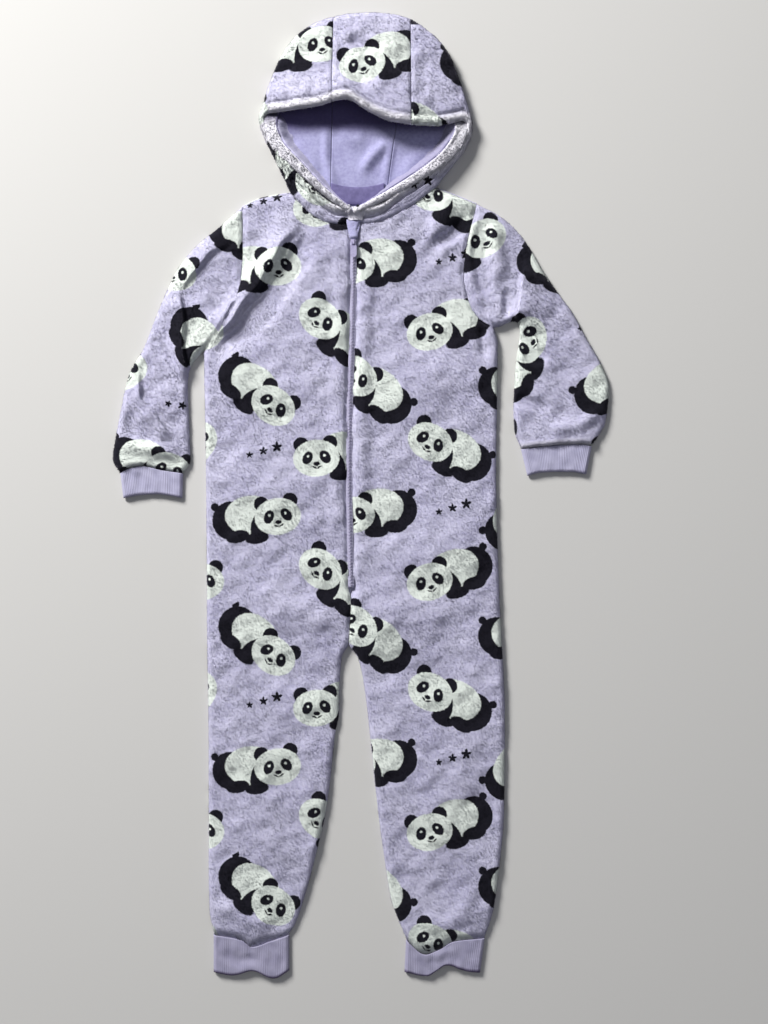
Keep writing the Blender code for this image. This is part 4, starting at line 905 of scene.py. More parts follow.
def openHalf(y):
    start = layout["gap"] / 2
    risen = ease((y - layout["zipBottom"] + front["openBelow"]) / front["openOver"])
    return start + (layout["zipHalf"] - start) * risen


def makeFront(side):
    plan = panelPlan(side, frontNecks[side], front["top"], openHalf, clothGrid)
    height = upperHeight(plan)
    y = plan[..., 1]
    toEdge = np.abs(plan[..., 0] - zipX(y)) - openHalf(y)
    atZip = front["zipDrop"] * ease(1 - toEdge / front["zipRoll"]) ** 1.3
    atSeam = front["seamDrop"] * ease(1 - toEdge / front["seamRoll"])
    height -= np.where(y > layout["zipBottom"], atZip, np.where(y > layout["crotchY"], atSeam, 0.0))
    surface = layLoft(plan, height, fleeceEdges, layout["edgeReach"], layout["wall"])
    lowest, lowestInside = (layout["wall"] + over for over in front["overBack"])
    ground = sunk(surface, layout["pileDepth"], lowest)
    return clothShell("front_" + side + "_plush", ground, sunk(ground, layout["ground"], lowestInside),
                      plan + front["printShift"][side], np.ones(y.shape), plushGround, ["front_" + side],
                      stride=clothGrid["stride"])


# Backs: flat on the floor under the fronts, seen only at the inside of a leg

back = {"grid": {"fine": [0.0, 1.5, 4.5], "middle": 19, "rowStep": 4.5}, "top": 2.9, "edgeRound": 4.0,
        "tuck": 1.0, "tuckTo": 929.0, "seamClear": 40.0, "printShift": (40.0, 12.0)}


def makeBack(side):
    plan = panelPlan(side, backNecks[side], layout["napeY"], lambda y: layout["gap"] / 2, back["grid"])
    # drawn in where it would show past the front's edge, but not along the centre seam
    cover = panelPlan(side, frontNecks[side], front["top"], openHalf, clothGrid)
    middle = plan[:, [0, -1], 0].mean(axis=1)
    for column in (0, -1):
        edge = cover[np.argsort(cover[:, column, 1]), column]
        ownX, ownY = plan[:, column].copy().T
        out = np.sign(ownX - middle)
        past = np.maximum(out * (ownX - np.interp(ownY, edge[:, 1], edge[:, 0])) + back["tuck"], 0.0)
        offSeam = (ownY < layout["crotchY"]) | (np.abs(ownX - zipX(ownY)) > back["seamClear"])
        share = np.clip((plan[..., 0] - middle[:, None]) / (ownX - middle)[:, None], 0.0, 1.0)
        plan[..., 0] -= (out * past * ((ownY < back["tuckTo"]) & offSeam))[:, None] * share ** 3
    toEdge = toEdges(plan, fleeceEdges, back["edgeRound"])
    low = layout["rests"] + (1 - toEdge / back["edgeRound"]) ** 2
    over = raised(plan, np.full(low.shape, back["top"]))
    return clothShell("back_" + side + "_plush", raised(plan, low), over, plan + back["printShift"],
                      np.zeros(low.shape), plushGround, ["back_" + side])


# Sleeves: set-in tubes, lying flat

sleeve = {"underColumns": [65, 63, 61, 58, 54, 50, 46, 42, 38, 34, 31, 27, 23, 19, 15, 11, 8, 5, 3, 1],
          "endRise": 2.6, "endAt": 4.5, "endHalf": 4.0, "hemWide": 8.0, "softBelow": 4.0, "pileFrom": 2.2,
          "underRound": 3.0, "underRise": 1.9, "printTurn": {"right": 0.42, "left": -0.45},
          "printShift": {"right": (9.0, 61.0), "left": (47.0, 18.0)}}


def tubeRing(plan, height, edges, reach, wall, underColumns):
    # the upper layer, and back under it along fewer columns
    below = plan[:, underColumns]
    low = np.maximum(0.0, 1 - toEdges(below, edges, reach) / sleeve["underRound"]) ** 2
    return np.concatenate([layLoft(plan, height, edges, reach, wall),
                           raised(below, sleeve["underRise"] * low)], axis=1)


def makeSleeve(side):
    plan = sleevePlan(side, clothGrid)
    toWrist = nearestOn(plan, wristSeams[side])[0]
    atEnd = ease(1 - np.abs(toWrist - sleeve["endAt"]) / sleeve["endHalf"])
    ring = tubeRing(plan, upperHeight(plan) + sleeve["endRise"] * atEnd, fleeceEdges, layout["edgeReach"],
                    layout["wall"], sleeve["underColumns"])
    soft = ease(ring[..., 2] / sleeve["softBelow"])
    ground = sunk(ring, layout["pileDepth"] * soft, layout["rests"], True)
    inner = sunk(ground, layout["ground"], layout["insideRests"], True)
    flat, turn = ring[..., :2], sleeve["printTurn"][side]
    along = np.stack([flat[..., 0] * math.cos(turn) - flat[..., 1] * math.sin(turn),
                      flat[..., 0] * math.sin(turn) + flat[..., 1] * math.cos(turn)], axis=-1)
    return clothShell("sleeve_" + side + "_plush", ground, inner, along + sleeve["printShift"][side],
                      np.where(ring[..., 2] > sleeve["pileFrom"], 1.0, 0.0), plushGround, ["sleeve_" + side],
                      ring=True, stride=clothGrid["stride"],
                      hem=ease(1 - nearestOn(flat, wristSeams[side])[0] / sleeve["hemWide"]))


# Cuffs: fine rib, doubled, a little gathered where they meet the plush

cuff = {"loft": 6.9, "lowest": 5.3, "reach": 5.0, "wall": 2.2, "ribPitch": 2.2, "ribRelief": 0.2, "rows": 27,
        "fine": [0.0, 0.5, 1.3, 2.4, 3.8], "middle": 140, "wallInside": 1.2, "hemRoll": 3.2, "hemDrop": 1.7,
        "unevenness": (0.25, 16, 8)}
cuffCreases = [
    ([(80, 32), (106, 29), (132, 38)], 7, 10, 1.4), ([(104, 6), (122, 14), (142, 10)], 18, 24, 1.4),
    ([(-164, 36), (-138, 22), (-110, 27)], 10, 10, -1.6), ([(-146, 14), (-121, 12), (-96, 10)], 14, 22, 1.4),
    ([(-268, 636), (-258, 618), (-248, 604)], 10, 10, -1.4)]


def makeCuff(name):
    seam, end = cuffs[name]
    width = math.dist(seam[0], seam[-1])
    f = sideFractions(width, cuff["fine"], cuff["middle"])
    start, finish = alongPath(seam, f), alongPath(end, f)
    down = np.linspace(0, 1, cuff["rows"])[:, None, None]
    plan = start + (finish - start) * down
    across = f * width
    toEnd = np.linalg.norm(finish - start, axis=-1).mean() * (1 - down[..., 0])
    high, length, seed = cuff["unevenness"]
    height = np.maximum(cuff["lowest"], cuff["loft"] + foldHeight(plan, cuffCreases))
    height += high * ripple(plan, length, seed)
    height += cuff["ribRelief"] * np.cos(2 * math.pi * across / cuff["ribPitch"])[None, :]
    height -= cuff["hemDrop"] * ease(1 - toEnd / cuff["hemRoll"]) ** 2
    picks = list(range(len(f) - 3, 2, -6))
    ring = tubeRing(plan, height, [plan[:, 0], plan[:, -1]], cuff["reach"], cuff["wall"], picks)
    ring[..., 2] = np.maximum(ring[..., 2], layout["rests"])
    away = np.concatenate([across, across[picks]])[None, :].repeat(cuff["rows"], 0)
    flat = np.stack([away, toEnd.repeat(away.shape[1], 1)], axis=-1)
    inner = sunk(ring, cuff["wallInside"], layout["insideRests"], True)
    return clothShell("cuff_" + name + "_rib", ring, inner, flat, np.zeros(away.shape),
                      ankleRib if "ankle" in name else wristRib, ["cuff_" + name], ring=True)


# Hood. A section runs from the rim of its mouth over the cloth to the fold that lies furthest out,
# turns under there and comes back along the floor to the neck seam.

hoodColumns = "t rimX rimY rimZ foldX foldY foldZ neckX neckY"
hoodSides = {
    "right": table(hoodColumns, [
        (0.00, -23, 1090, 28, -21, 1201, 17, -25, 970), (0.14, -40, 1086, 25, -42, 1194, 16, -30, 971),
        (0.28, -59, 1084, 21, -64, 1180, 15, -36, 972), (0.42, -78, 1082, 18, -82, 1159, 14, -44, 974),
        (0.54, -94, 1081, 16, -96, 1129, 13, -51, 975), (0.64, -103, 1080, 14, -106, 1101, 12, -57, 976),
        (0.72, -106, 1074, 13, -113, 1074, 12, -62, 977), (0.80, -101, 1056, 14, -107, 1052, 11, -67, 979),
        (0.90, -88, 1034, 16, -95, 1027, 11, -71, 981), (1.00, -73, 1015, 18, -82, 1000, 11, -74, 984)]),
    "left": table(hoodColumns, [
        (0.00, 77, 1062, 28, 76, 1199, 17, 45, 970), (0.14, 90, 1062, 26, 94, 1186, 16, 51, 971),
        (0.28, 104, 1062, 23, 110, 1173, 15, 58, 973), (0.42, 118, 1065, 20, 124, 1154, 14, 65, 976),
        (0.54, 130, 1068, 17, 134, 1130, 13, 73, 979), (0.64, 140, 1071, 15, 144, 1101, 12, 80, 981),
        (0.72, 145, 1066, 13, 153, 1065, 12, 86, 984), (0.80, 138, 1046, 14, 146, 1041, 11, 93, 987),
        (0.90, 124, 1030, 16, 131, 1020, 11, 100, 989), (1.00, 107, 1015, 18, 115, 1000, 11, 107, 990)])}
hoodCentre = table(hoodColumns, [
    (0.00, -22, 1091, 28, -20, 1201, 17, -24, 970), (0.25, -3, 1092, 31, 1, 1205, 18, -8, 968),
    (0.50, 24, 1077, 31, 30, 1206, 18, 10, 967), (0.75, 50, 1066, 30, 55, 1204, 18, 28, 968),
    (1.00, 76, 1062, 28, 75, 1199, 17, 44, 970)])
neckRims = {"right": [(-73, 1015), (-52, 995), (-31, 974), (-14, 966), (0, 967)],
            "left": [(107, 1015), (85, 1001), (61, 985), (39, 968), (22, 964), (9, 967)]}
hood = {"rimHeight": 15.0, "hemWidth": 12.0, "wall": 2.4, "collarAllowance": 11.0, "stations": 77,
        "centreStations": 55, "collarStations": 34, "turnRows": 9, "underRows": 36, "topRows": 60,
        "hemRise": 2.2, "hemSeam": 1.8, "rimDrop": 3.2, "seamDrop": 1.1, "seamHalf": 5.0, "foldsTo": 6.5,
        "ripples": [(0.7, 42, 12), (0.35, 17, 13)], "liningRipple": (0.5, 30, 15),
        "pileFrom": 4.5, "paleHem": 0.9, "dark": 0.85, "darkFrom": 1052.0, "darkOver": 20.0,
        "printShift": {"right": (-37.0, 8.0), "left": (22.0, -49.0), "centre": (58.0, 24.0)}}
crownDents = [
    ([(-14, 1162), (-4, 1138), (10, 1122), (28, 1110)], 18, 16, -6.0),
    ([(-2, 1174), (14, 1162), (30, 1154)], 12, 12, -5.0),
    ([(-66, 1160), (-46, 1128), (-40, 1104)], 18, 16, -2.2),
    ([(100, 1150), (88, 1120), (84, 1092)], 16, 16, -2.0),
    ([(60, 1190), (44, 1150), (46, 1110)], 22, 20, 2.2),
    ([(-96, 1110), (-70, 1100), (-46, 1104)], 12, 12, 1.8)]
liningFolds = [
    ([(11, 1009), (30, 1032), (51, 1051)], 9, 12, 6.0), ([(-30, 1075), (-30, 1024), (-18, 985)], 9, 9, 2.2),
    ([(56, 1056), (48, 1025), (42, 990)], 9, 9, 2.6), ([(-70, 1050), (-52, 1030), (-40, 1004)], 14, 14, 2.6),
    ([(96, 1040), (76, 1020), (62, 996)], 14, 14, 2.4), ([(-16, 1062), (4, 1050), (22, 1056)], 12, 14, 2.6)]


def hoodSection(rim, rimZ, fold, foldZ, neck, floorZ):
    # the outer and inner points of many sections at once, and how far along from the rim they lie
    rim, fold, neck = (np.asarray(v, float) for v in (rim, fold, neck))
    rimZ, foldZ, floorZ = (np.asarray(v, float) for v in (rimZ, foldZ, floorZ))
    length = np.linalg.norm(rim - fold, axis=-1)
    lengthUnder = np.linalg.norm(neck - fold, axis=-1)
    # how round the fold is, over and under: a share of its height, less where the cloth beside it is short
    turn, underTurn = np.minimum(0.62 * foldZ, 0.45 * length), np.minimum(0.6 * foldZ, 0.3 * lengthUnder)
    middle, wall = (floorZ + foldZ) / 2, hood["wall"]
    toRim, toNeck = (rim - fold) / length[:, None], (neck - fold) / lengthUnder[:, None]
    outer, inner, away = [], [], []

    def add(points, z, insidePoints, insideZ, distance):
        outer.append(raised(points, z))
        inner.append(raised(insidePoints, insideZ))
        away.append(distance)

    closerAtHem = np.concatenate([np.linspace(0, 0.2, 12), np.linspace(0.2, 1, 40)[1:-1]])
    for f in closerAtHem:
        share = f * (1 - turn / length)
        points = rim + (fold - rim) * share[:, None]
        z = rimZ + (foldZ - rimZ) * ease(share * 1.1)
        add(points, z, points, np.maximum(floorZ + wall + 0.8, z - wall), share * length)
    for angle in np.radians(np.linspace(90, 0, hood["turnRows"])):
        far = turn * (1 - math.cos(angle))
        inside = far + wall * math.cos(angle)
        add(fold + toRim * far[:, None], middle + (foldZ - middle) * math.sin(angle),
            fold + toRim * inside[:, None], middle + (foldZ - wall - middle) * math.sin(angle), length - far)
    for angle in np.radians(np.linspace(0, 90, hood["turnRows"])[1:]):
        far = underTurn * (1 - math.cos(angle))
        inside = far + wall * math.cos(angle)
        add(fold + toNeck * far[:, None], middle - (middle - floorZ) * math.sin(angle),
            fold + toNeck * inside[:, None], middle - (middle - floorZ - wall) * math.sin(angle),
            length + far)
    start = fold + toNeck * underTurn[:, None]
    for f in np.linspace(0, 1, hood["underRows"])[1:]:
        points = start + (neck - start) * f
        add(points, floorZ, points, floorZ + wall, length + underTurn + f * lengthUnder)
    return np.stack(outer, axis=1), np.stack(inner, axis=1), np.stack(away, axis=1)


def stations(data, t):
    neck = pointsAt(data, t, "neckX", "neckY")
    neck[:, 1] += layout["gap"]
    return (pointsAt(data, t, "rimX", "rimY"), curveAt(data["t"], data["rimZ"], t),
            pointsAt(data, t, "foldX", "foldY"), curveAt(data["t"], data["foldZ"], t), neck)


def shapeHood(outer, inner, away, seams):
    # hem, dents and seams on the outside, soft folds in the lining that shows through the mouth
    top, flat, hem = outer[..., 2] > 9.0, outer[..., :2], hood["hemWidth"]
    relief = hood["hemRise"] * ease(1 - np.abs(away - hem * 0.45) / (hem * 0.55))
    relief -= hood["hemSeam"] * ease(1 - np.abs(away - hem * 1.08) / 2.6)
    relief -= hood["rimDrop"] * ease(1 - away / 3.0) ** 2
    relief += sum((high * ripple(flat, length, seed) for high, length, seed in hood["ripples"]),
                  foldHeight(flat, crownDents))
    for seam in seams:
        relief -= hood["seamDrop"] * ease(1 - nearestOn(flat, seam)[0] / hood["seamHalf"])
    fade = ease(1 - (away - away.max(axis=1, keepdims=True) * 0.42) / 20)
    outer, inner = outer.copy(), inner.copy()
    outer[..., 2] += np.where(top, relief * fade, 0.0)
    under = (inner[..., 2] < 8.0) & (outer[..., 2] < 6.0)
    high, length, seed = hood["liningRipple"]
    folds = foldHeight(inner[..., :2], liningFolds) + high + high * ripple(inner[..., :2], length, seed)
    inner[..., 2] += np.where(under, np.clip(folds, 0, hood["foldsTo"]), 0.0)
    inner[..., 2] = np.where(under, inner[..., 2], np.minimum(inner[..., 2], outer[..., 2] - 1.2))
    return outer, inner


def makeHood(side):
    centre = side == "centre"
    data = hoodCentre if centre else hoodSides[side]
    t = np.linspace(0, 1, hood["centreStations" if centre else "stations"])
    rim, rimZ, fold, foldZ, neck = stations(data, t)
    floorZ = np.zeros(len(t))
    if not centre:
        # the sides go on as the collar, over the shoulders and the fronts' neck seams
        onFront = layout["wall"] + layout["gap"]
        floorZ = onFront * ease((t - 0.93) / 0.07)
        shares = np.linspace(0, 1, hood["collarStations"])[1:]
        seam, collar = alongPath(frontNecks[side], shares), alongPath(neckRims[side], shares)
        length = np.linalg.norm(collar - seam, axis=-1)[:, None]
        rim = np.concatenate([rim, collar])
        rimZ = np.concatenate([rimZ, np.full(len(shares), hood["rimHeight"])])
        fold = np.concatenate([fold, seam + (collar - seam) * (layout["gap"] / length)])
        foldZ = np.concatenate([foldZ, upperHeight(seam) + 1.5])
        neck = np.concatenate([neck, seam + (collar - seam) * (hood["collarAllowance"] / length)])
        floorZ = np.concatenate([floorZ, np.full(len(shares), onFront)])
    for line in (rim, fold, neck):                         # the pile closes over the crown seams
        line[0, 0] += {"right": 0.35, "left": -0.35, "centre": -0.25}[side]
        line[-1, 0] += 0.25 if centre else 0.0
    outer, inner, away = hoodSection(rim, rimZ, fold, foldZ, neck, floorZ)
    seams = [outer[i, :hood["topRows"], :2] for i in ((0, -1) if centre else (0,))]
    outer, inner = shapeHood(outer, inner, away, seams)
    nap = np.where(outer[..., 2] > hood["pileFrom"], 1.0, 0.0)
    if not centre:
        nap[-4:, :9] = 0.0                                # none on the two ends of the collar, at the zip
    # the lining takes painted shade far in under the brim
    return clothShell("hood_" + side + "_plush", outer, inner, outer[..., :2] + hood["printShift"][side], nap,
                      plushGround, ["hood_" + side], lining=fleeceInside,
                      hem=hood["paleHem"] * ease(1.4 - away / hood["hemWidth"]),
                      under=hood["dark"] * ease((inner[..., 1] - hood["darkFrom"]) / hood["darkOver"]))


# The front edges of the hood are faced with a turned band of plain fleece, sewn down along its inside

facing = {"outside": 2.0, "bandWide": 14.5, "bandNarrow": 6.0, "slope": 15.0, "slopeAtZip": 3.0, "crest": 3.2,
          "across": 34, "along": 96, "smoothing": 20, "thickness": 1.6, "mouth": (12.0, 1036.0),
          "ripples": [(0.35, 14, 21), (0.3, 34, 22)], "slopeShade": {"right": 0.2, "left": 0.5}}
facingEdges = {
    "right": table("t x y z", [(0.0, -103, 1088, 7), (0.12, -106, 1066, 12), (0.3, -94, 1036, 15),
                               (0.48, -71, 1014, 17), (0.76, -35, 982, 17), (1.0, 0, 956, 15)]),
    "left": table("t x y z", [(0.0, 143, 1080, 7), (0.12, 145, 1058, 12), (0.3, 128, 1027, 15),
                              (0.46, 106, 1009, 17), (0.78, 41, 972, 17), (1.0, 6, 955, 15)])}


def facingPath(side):
    data = facingEdges[side]
    t = np.linspace(0, 1, facing["along"])
    path = pointsAt(data, t)
    for _ in range(facing["smoothing"]):
        path[1:-1] = (path[:-2] + 2 * path[1:-1] + path[2:]) / 4
    return path, curveAt(data["t"], data["z"], t)[:, None]


def makeFacing(side):
    # rows along the edge; across it, u runs from just outside it over the rolled band and down the slope
    path, height = facingPath(side)
    tangent = np.gradient(path, axis=0)
    tangent /= np.linalg.norm(tangent, axis=1, keepdims=True)
    inwards = np.stack([-tangent[:, 1], tangent[:, 0]], axis=-1)
    inwards *= np.sign(np.sum(inwards * (np.array(facing["mouth"]) - path), axis=1, keepdims=True))
    way = np.linspace(0, 1, len(path))
    band = facing["bandWide"] + (facing["bandNarrow"] - facing["bandWide"]) * ease((way - 0.1) / 0.85)
    slope = facing["slope"] + (facing["slopeAtZip"] - facing["slope"]) * ease((way - 0.45) / 0.5)
    shares = np.linspace(0, 1, facing["across"])
    u = -facing["outside"] + (band + slope + facing["outside"])[:, None] * shares[None, :]
    wide = band[:, None]
    flat = path[:, None] + inwards[:, None] * u[..., None]
    arch = np.sqrt(np.clip(1 - ((u - wide * 0.42) / (wide * 0.62)) ** 2, 0, 1))
    rolled = np.maximum(height + facing["crest"] * arch - 0.6, height - 0.9 + 0.3 * (u + 2.5))
    groove = height + 1.2 - 1.0 * ease(1 - np.abs(u - wide) / 1.6)
    z = np.where(u < wide, rolled, groove) - 1.4 * ease(1 - np.abs(u - wide) / 1.8)
    endZ = (2.2 + 2.0 * ease((way - 0.5) / 0.3))[:, None]       # its inner edge goes under the lining
    z = z + (endZ - z) * np.where(u > wide, ease((u - wide) / slope[:, None]), 0.0)
    under = 5.5 * (1 - ease(way / 0.1))[:, None]
    (coarse, coarseLength, coarseSeed), (fine, fineLength, fineSeed) = facing["ripples"]
    z = np.maximum(z - under + coarse * ripple(flat, coarseLength, coarseSeed)
                   + fine * ripple(flat, fineLength, fineSeed), endZ)
    outer = raised(flat, z)
    inner = outer - (0.0, 0.0, facing["thickness"])
    inner[..., 2] = np.maximum(inner[..., 2], endZ - 1.0)
    outer[..., 2] = np.maximum(outer[..., 2], inner[..., 2] + 0.5)
    # painted shade: darker far in under the brim, and down the inside slope, most on the wearer's left, whose
    # slope faces the lamp
    shaded = hood["dark"] * ease((flat[..., 1] - hood["darkFrom"] - 8) / hood["darkOver"])
    shaded = np.maximum(shaded, facing["slopeShade"][side] * ease((u - wide) / 1.5))
    shell = clothShell("hood_facing_" + side, outer, inner, flat, np.where(u < wide - 1.5, 1.0, 0.0),
                       plainGround, hem=np.where(u < wide - 0.8, 0.9, 0.0), under=shaded)
    atSeam = z[np.arange(len(path)), np.abs(u - wide).argmin(axis=1)]
    return shell, placed(raised(path + inwards * wide, atSeam + 0.5))


# The inside of the back neck, between the collar's halves: a strip whose dark colour is painted shade
nape = {"left": -24.0, "right": 43.0, "low": 968.0, "high": 990.0, "height": 5.2, "edgeRise": 0.8,
        "edgeRound": 3.0, "thickness": 1.2, "middle": 9.5, "half": 34.0, "endsInset": 3.5,
        "unevenness": (0.3, 18, 31)}


def makeNape():
    flat = np.stack(np.meshgrid(np.linspace(nape["left"], nape["right"], 46),
                                np.linspace(nape["low"], nape["high"], 16)), axis=-1)
    inset = nape["endsInset"] * np.abs((flat[..., 0] - nape["middle"]) / nape["half"]) ** 2
    flat[..., 1] += inset * (flat[..., 1] - nape["low"]) / (nape["high"] - nape["low"]) * 1.6
    edge = np.minimum(flat[..., 1] - nape["low"], nape["high"] - flat[..., 1])
    high, length, seed = nape["unevenness"]
    z = nape["height"] + nape["edgeRise"] * ease(edge / nape["edgeRound"]) + high * ripple(flat, length, seed)
    outer = raised(flat, z)
    clothShell("nape_strip", outer, outer - (0.0, 0.0, nape["thickness"]), flat, np.zeros(z.shape), napeShade)


collarTurn = {"top": 964.0, "bottom": 947.0, "wide": 15.0, "narrow": 8.8, "high": 17.6, "low": 13.2,
              "thickness": 1.4, "shift": 2.0, "shiftAtTop": 3.5, "sidesDrop": 2.4, "topDrop": 4.5,
              "paleHem": 0.7, "unevenness": (0.35, 8, 51)}


def makeCollarTurn():
    # over the top of the zip the ends of the two facings meet in one soft fold
    way = np.linspace(0, 1, 20)
    y = collarTurn["top"] + (collarTurn["bottom"] - collarTurn["top"]) * way
    half = collarTurn["wide"] + (collarTurn["narrow"] - collarTurn["wide"]) * ease(1.1 * way)
    middle = zipX(y) + collarTurn["shift"] + collarTurn["shiftAtTop"] * (1 - way)
    across = np.sin(np.linspace(-math.pi / 2, math.pi / 2, 27))
    flat = np.stack(np.broadcast_arrays(middle[:, None] + half[:, None] * across, y[:, None]), axis=-1)
    high, length, seed = collarTurn["unevenness"]
    z = collarTurn["high"] + (collarTurn["low"] - collarTurn["high"]) * ease(way)[:, None]
    z = z - collarTurn["sidesDrop"] * across ** 2 - collarTurn["topDrop"] * ease(1 - way / 0.3)[:, None]
    outer = raised(flat, z + high * ripple(flat, length, seed))
    return clothShell("collar_turn", outer, outer - (0.0, 0.0, collarTurn["thickness"]), flat,
                      np.ones(z.shape), plainGround, hem=np.full(z.shape, collarTurn["paleHem"]))


# What repeats along a line, the coil's turns and the stitches, by Geometry Nodes

def barTree():
    tree, source, sink = newTree("barsAlongLine", "GeometryNodeTree", {
        "Geometry": "Geometry", "Spacing": "Float", "Bar length": "Float", "Bar radius": "Float",
        "Turn": "Float", "Stagger": "Float", "Seed": "Int", "Finish": "Material"}, {"Geometry": "Geometry"})
    curve = addNode(tree, "GeometryNodeMeshToCurve", {}, {"Mesh": source.outputs["Geometry"]})
    points = addNode(tree, "GeometryNodeCurveToPoints", {"mode": "LENGTH"},
                     {"Curve": curve.outputs[0], "Length": source.outputs["Spacing"]})
    index = addNode(tree, "GeometryNodeInputIndex", {})
    odd = addNode(tree, "Math", {"operation": "FLOORED_MODULO"}, {0: index.outputs[0], 1: 2.0})
    sign = addNode(tree, "Math", {"operation": "MULTIPLY_ADD"}, {0: odd.outputs[0], 1: 2.0, 2: -1.0})
    shift = addNode(tree, "Math", {"operation": "MULTIPLY"},
                    {0: sign.outputs[0], 1: source.outputs["Stagger"]})
    aside = addNode(tree, "CombineXYZ", {}, {"X": shift.outputs[0]})
    moved = addNode(tree, "GeometryNodeSetPosition", {}, {"Geometry": points.outputs["Points"],
                                                          "Offset": aside.outputs[0]})
    aligned = addNode(tree, "FunctionNodeAlignRotationToVector", {"axis": "X"},
                      {"Vector": points.outputs["Tangent"]})
    wobble = addNode(tree, "FunctionNodeRandomValue", {"data_type": "FLOAT"},
                     {"Min": -0.07, "Max": 0.07, "Seed": source.outputs["Seed"]})
    angle = addNode(tree, "Math", {"operation": "ADD"},
                    {0: source.outputs["Turn"], 1: wobble.outputs[1]})
    around = addNode(tree, "CombineXYZ", {}, {"Z": angle.outputs[0]})
    turned = addNode(tree, "FunctionNodeRotateRotation", {"rotation_space": "LOCAL"},
                     {"Rotation": aligned.outputs[0], "Rotate By": around.outputs[0]})
    bead = addNode(tree, "GeometryNodeMeshUVSphere", {}, {"Segments": 6, "Rings": 4, "Radius": 1.0})
    half = addNode(tree, "Math", {"operation": "MULTIPLY"}, {0: source.outputs["Bar length"], 1: 0.5})
    radius = source.outputs["Bar radius"]
    size = addNode(tree, "CombineXYZ", {}, {"X": half.outputs[0], "Y": radius, "Z": radius})
    bars = addNode(tree, "GeometryNodeInstanceOnPoints", {},
                   {"Points": moved.outputs[0], "Instance": bead.outputs["Mesh"],
                    "Rotation": turned.outputs[0], "Scale": size.outputs[0]})
    real = addNode(tree, "GeometryNodeRealizeInstances", {}, {0: bars.outputs[0]})
    smooth = addNode(tree, "GeometryNodeSetShadeSmooth", {}, {"Geometry": real.outputs[0]})
    finished = addNode(tree, "GeometryNodeSetMaterial", {},
                       {"Geometry": smooth.outputs[0], "Material": source.outputs["Finish"]})
    connect(tree, sink, {"Geometry": finished.outputs[0]})
    return tree


barsAlongLine = barTree()


def makeBars(name, points, values, nodes=()):
    line = bpy.data.meshes.new(name)
    line.from_pydata([tuple(p) for p in points], [(i, i + 1) for i in range(len(points) - 1)], [])
    dress(throughNodes(name, line, barsAlongLine, values), nodes)


zipper = {"bottom": 491.0, "top": 938.0, "turnPitch": 2.0, "turnLength": 3.9, "turnRadius": 0.7,
          "stagger": 0.7, "coilHeight": 8.5, "tapeMiddle": 0.15, "tapeHalf": 3.9, "tapeHigh": 7.3,
          "tapeDrop": 0.25, "tapeThick": 0.9, "tapeLonger": (2.0, 8.0), "unevenness": (0.08, 12, 40)}


def makeZip():
    y = np.linspace(zipper["bottom"], zipper["top"], 160)
    line = placed(np.stack([zipX(y), y, np.full(y.shape, zipper["coilHeight"])], axis=-1))
    makeBars("zip_coil_turns", line, {
        "Spacing": zipper["turnPitch"] * 0.001, "Bar length": zipper["turnLength"] * 0.001,
        "Bar radius": zipper["turnRadius"] * 0.001, "Turn": math.pi / 2, "Stagger": zipper["stagger"] * 0.001,
        "Seed": 3, "Finish": nylonCoil}, ["zip_coil"])
    below, above = zipper["tapeLonger"]
    high, length, seed = zipper["unevenness"]
    for side, sign in (("right", -1), ("left", 1)):
        y = np.linspace(zipper["bottom"] - below, zipper["top"] + above, 130)
        across = np.linspace(zipper["tapeMiddle"], zipper["tapeHalf"], 7)
        flat = np.stack(np.broadcast_arrays(zipX(y)[:, None] + sign * across, y[:, None]), axis=-1)
        z = zipper["tapeHigh"] - zipper["tapeDrop"] * (across / zipper["tapeHalf"])
        over = raised(flat, z + high * ripple(flat, length, seed))
        clothShell("zip_tape_" + side + "_woven", over, over - (0, 0, zipper["tapeThick"]), flat,
                   np.zeros(flat.shape[:2]), zipTape, ["zip_tape_" + side])


guard = {"top": 948.5, "bottom": 924.0, "wide": 8.8, "narrow": 5.4, "thickness": 2.8, "endsIn": 1.2,
         "lowest": 9.3, "over": 0.2, "under": 0.6, "notchDepth": 1.1, "notchHalf": 2.5, "pile": 0.6}


def makeChinGuard():
    way = np.linspace(0, 1, 30)
    y = guard["top"] + (guard["bottom"] - guard["top"]) * way
    half = guard["wide"] + (guard["narrow"] - guard["wide"]) * ease(way)
    half = half - guard["endsIn"] * ease((way - 0.9) / 0.1)
    across = np.sin(np.linspace(-math.pi / 2, math.pi / 2, 21))
    flat = np.stack(np.broadcast_arrays(zipX(y)[:, None] + half[:, None] * across, y[:, None]), axis=-1)
    base = np.maximum(upperHeight(flat), guard["lowest"]) + guard["over"]
    ends = 0.45 + 0.55 * ease(np.minimum(way / 0.12, (1 - way) / 0.12))
    swell = guard["thickness"] * np.sqrt(1 - 0.92 * across ** 2)[None, :] * ends[:, None]
    notchLine = [(zipX(939.0) + 8, 944), (zipX(936.0) + 4.5, 935)]
    notch = -guard["notchDepth"] * ease(1 - nearestOn(flat, notchLine)[0] / guard["notchHalf"])
    high, low = raised(flat, base + swell + notch), raised(flat, base - guard["under"])
    return clothShell("chin_guard_plush", high, low, flat, np.full(base.shape, guard["pile"]), fleeceInside,
                      ["chin_guard"])


def finishMetal():
    # the slider and its pull keep the shape of their solids, with their edges rounded
    for name in ("zip_slider", "zip_pull"):
        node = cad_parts[name]
        node.data.materials.clear()
        node.data.materials.append(paintedZinc)
        edges = node.modifiers.new("worn edges", "BEVEL")
        edges.width = 0.00022
        edges.segments = 2
        edges.limit_method = "ANGLE"


stitches = {"Spacing": 0.0032, "Bar length": 0.0025, "Bar radius": 0.00034, "Turn": 0.0, "Stagger": 0.0,
            "Seed": 5, "Finish": sewingThread}

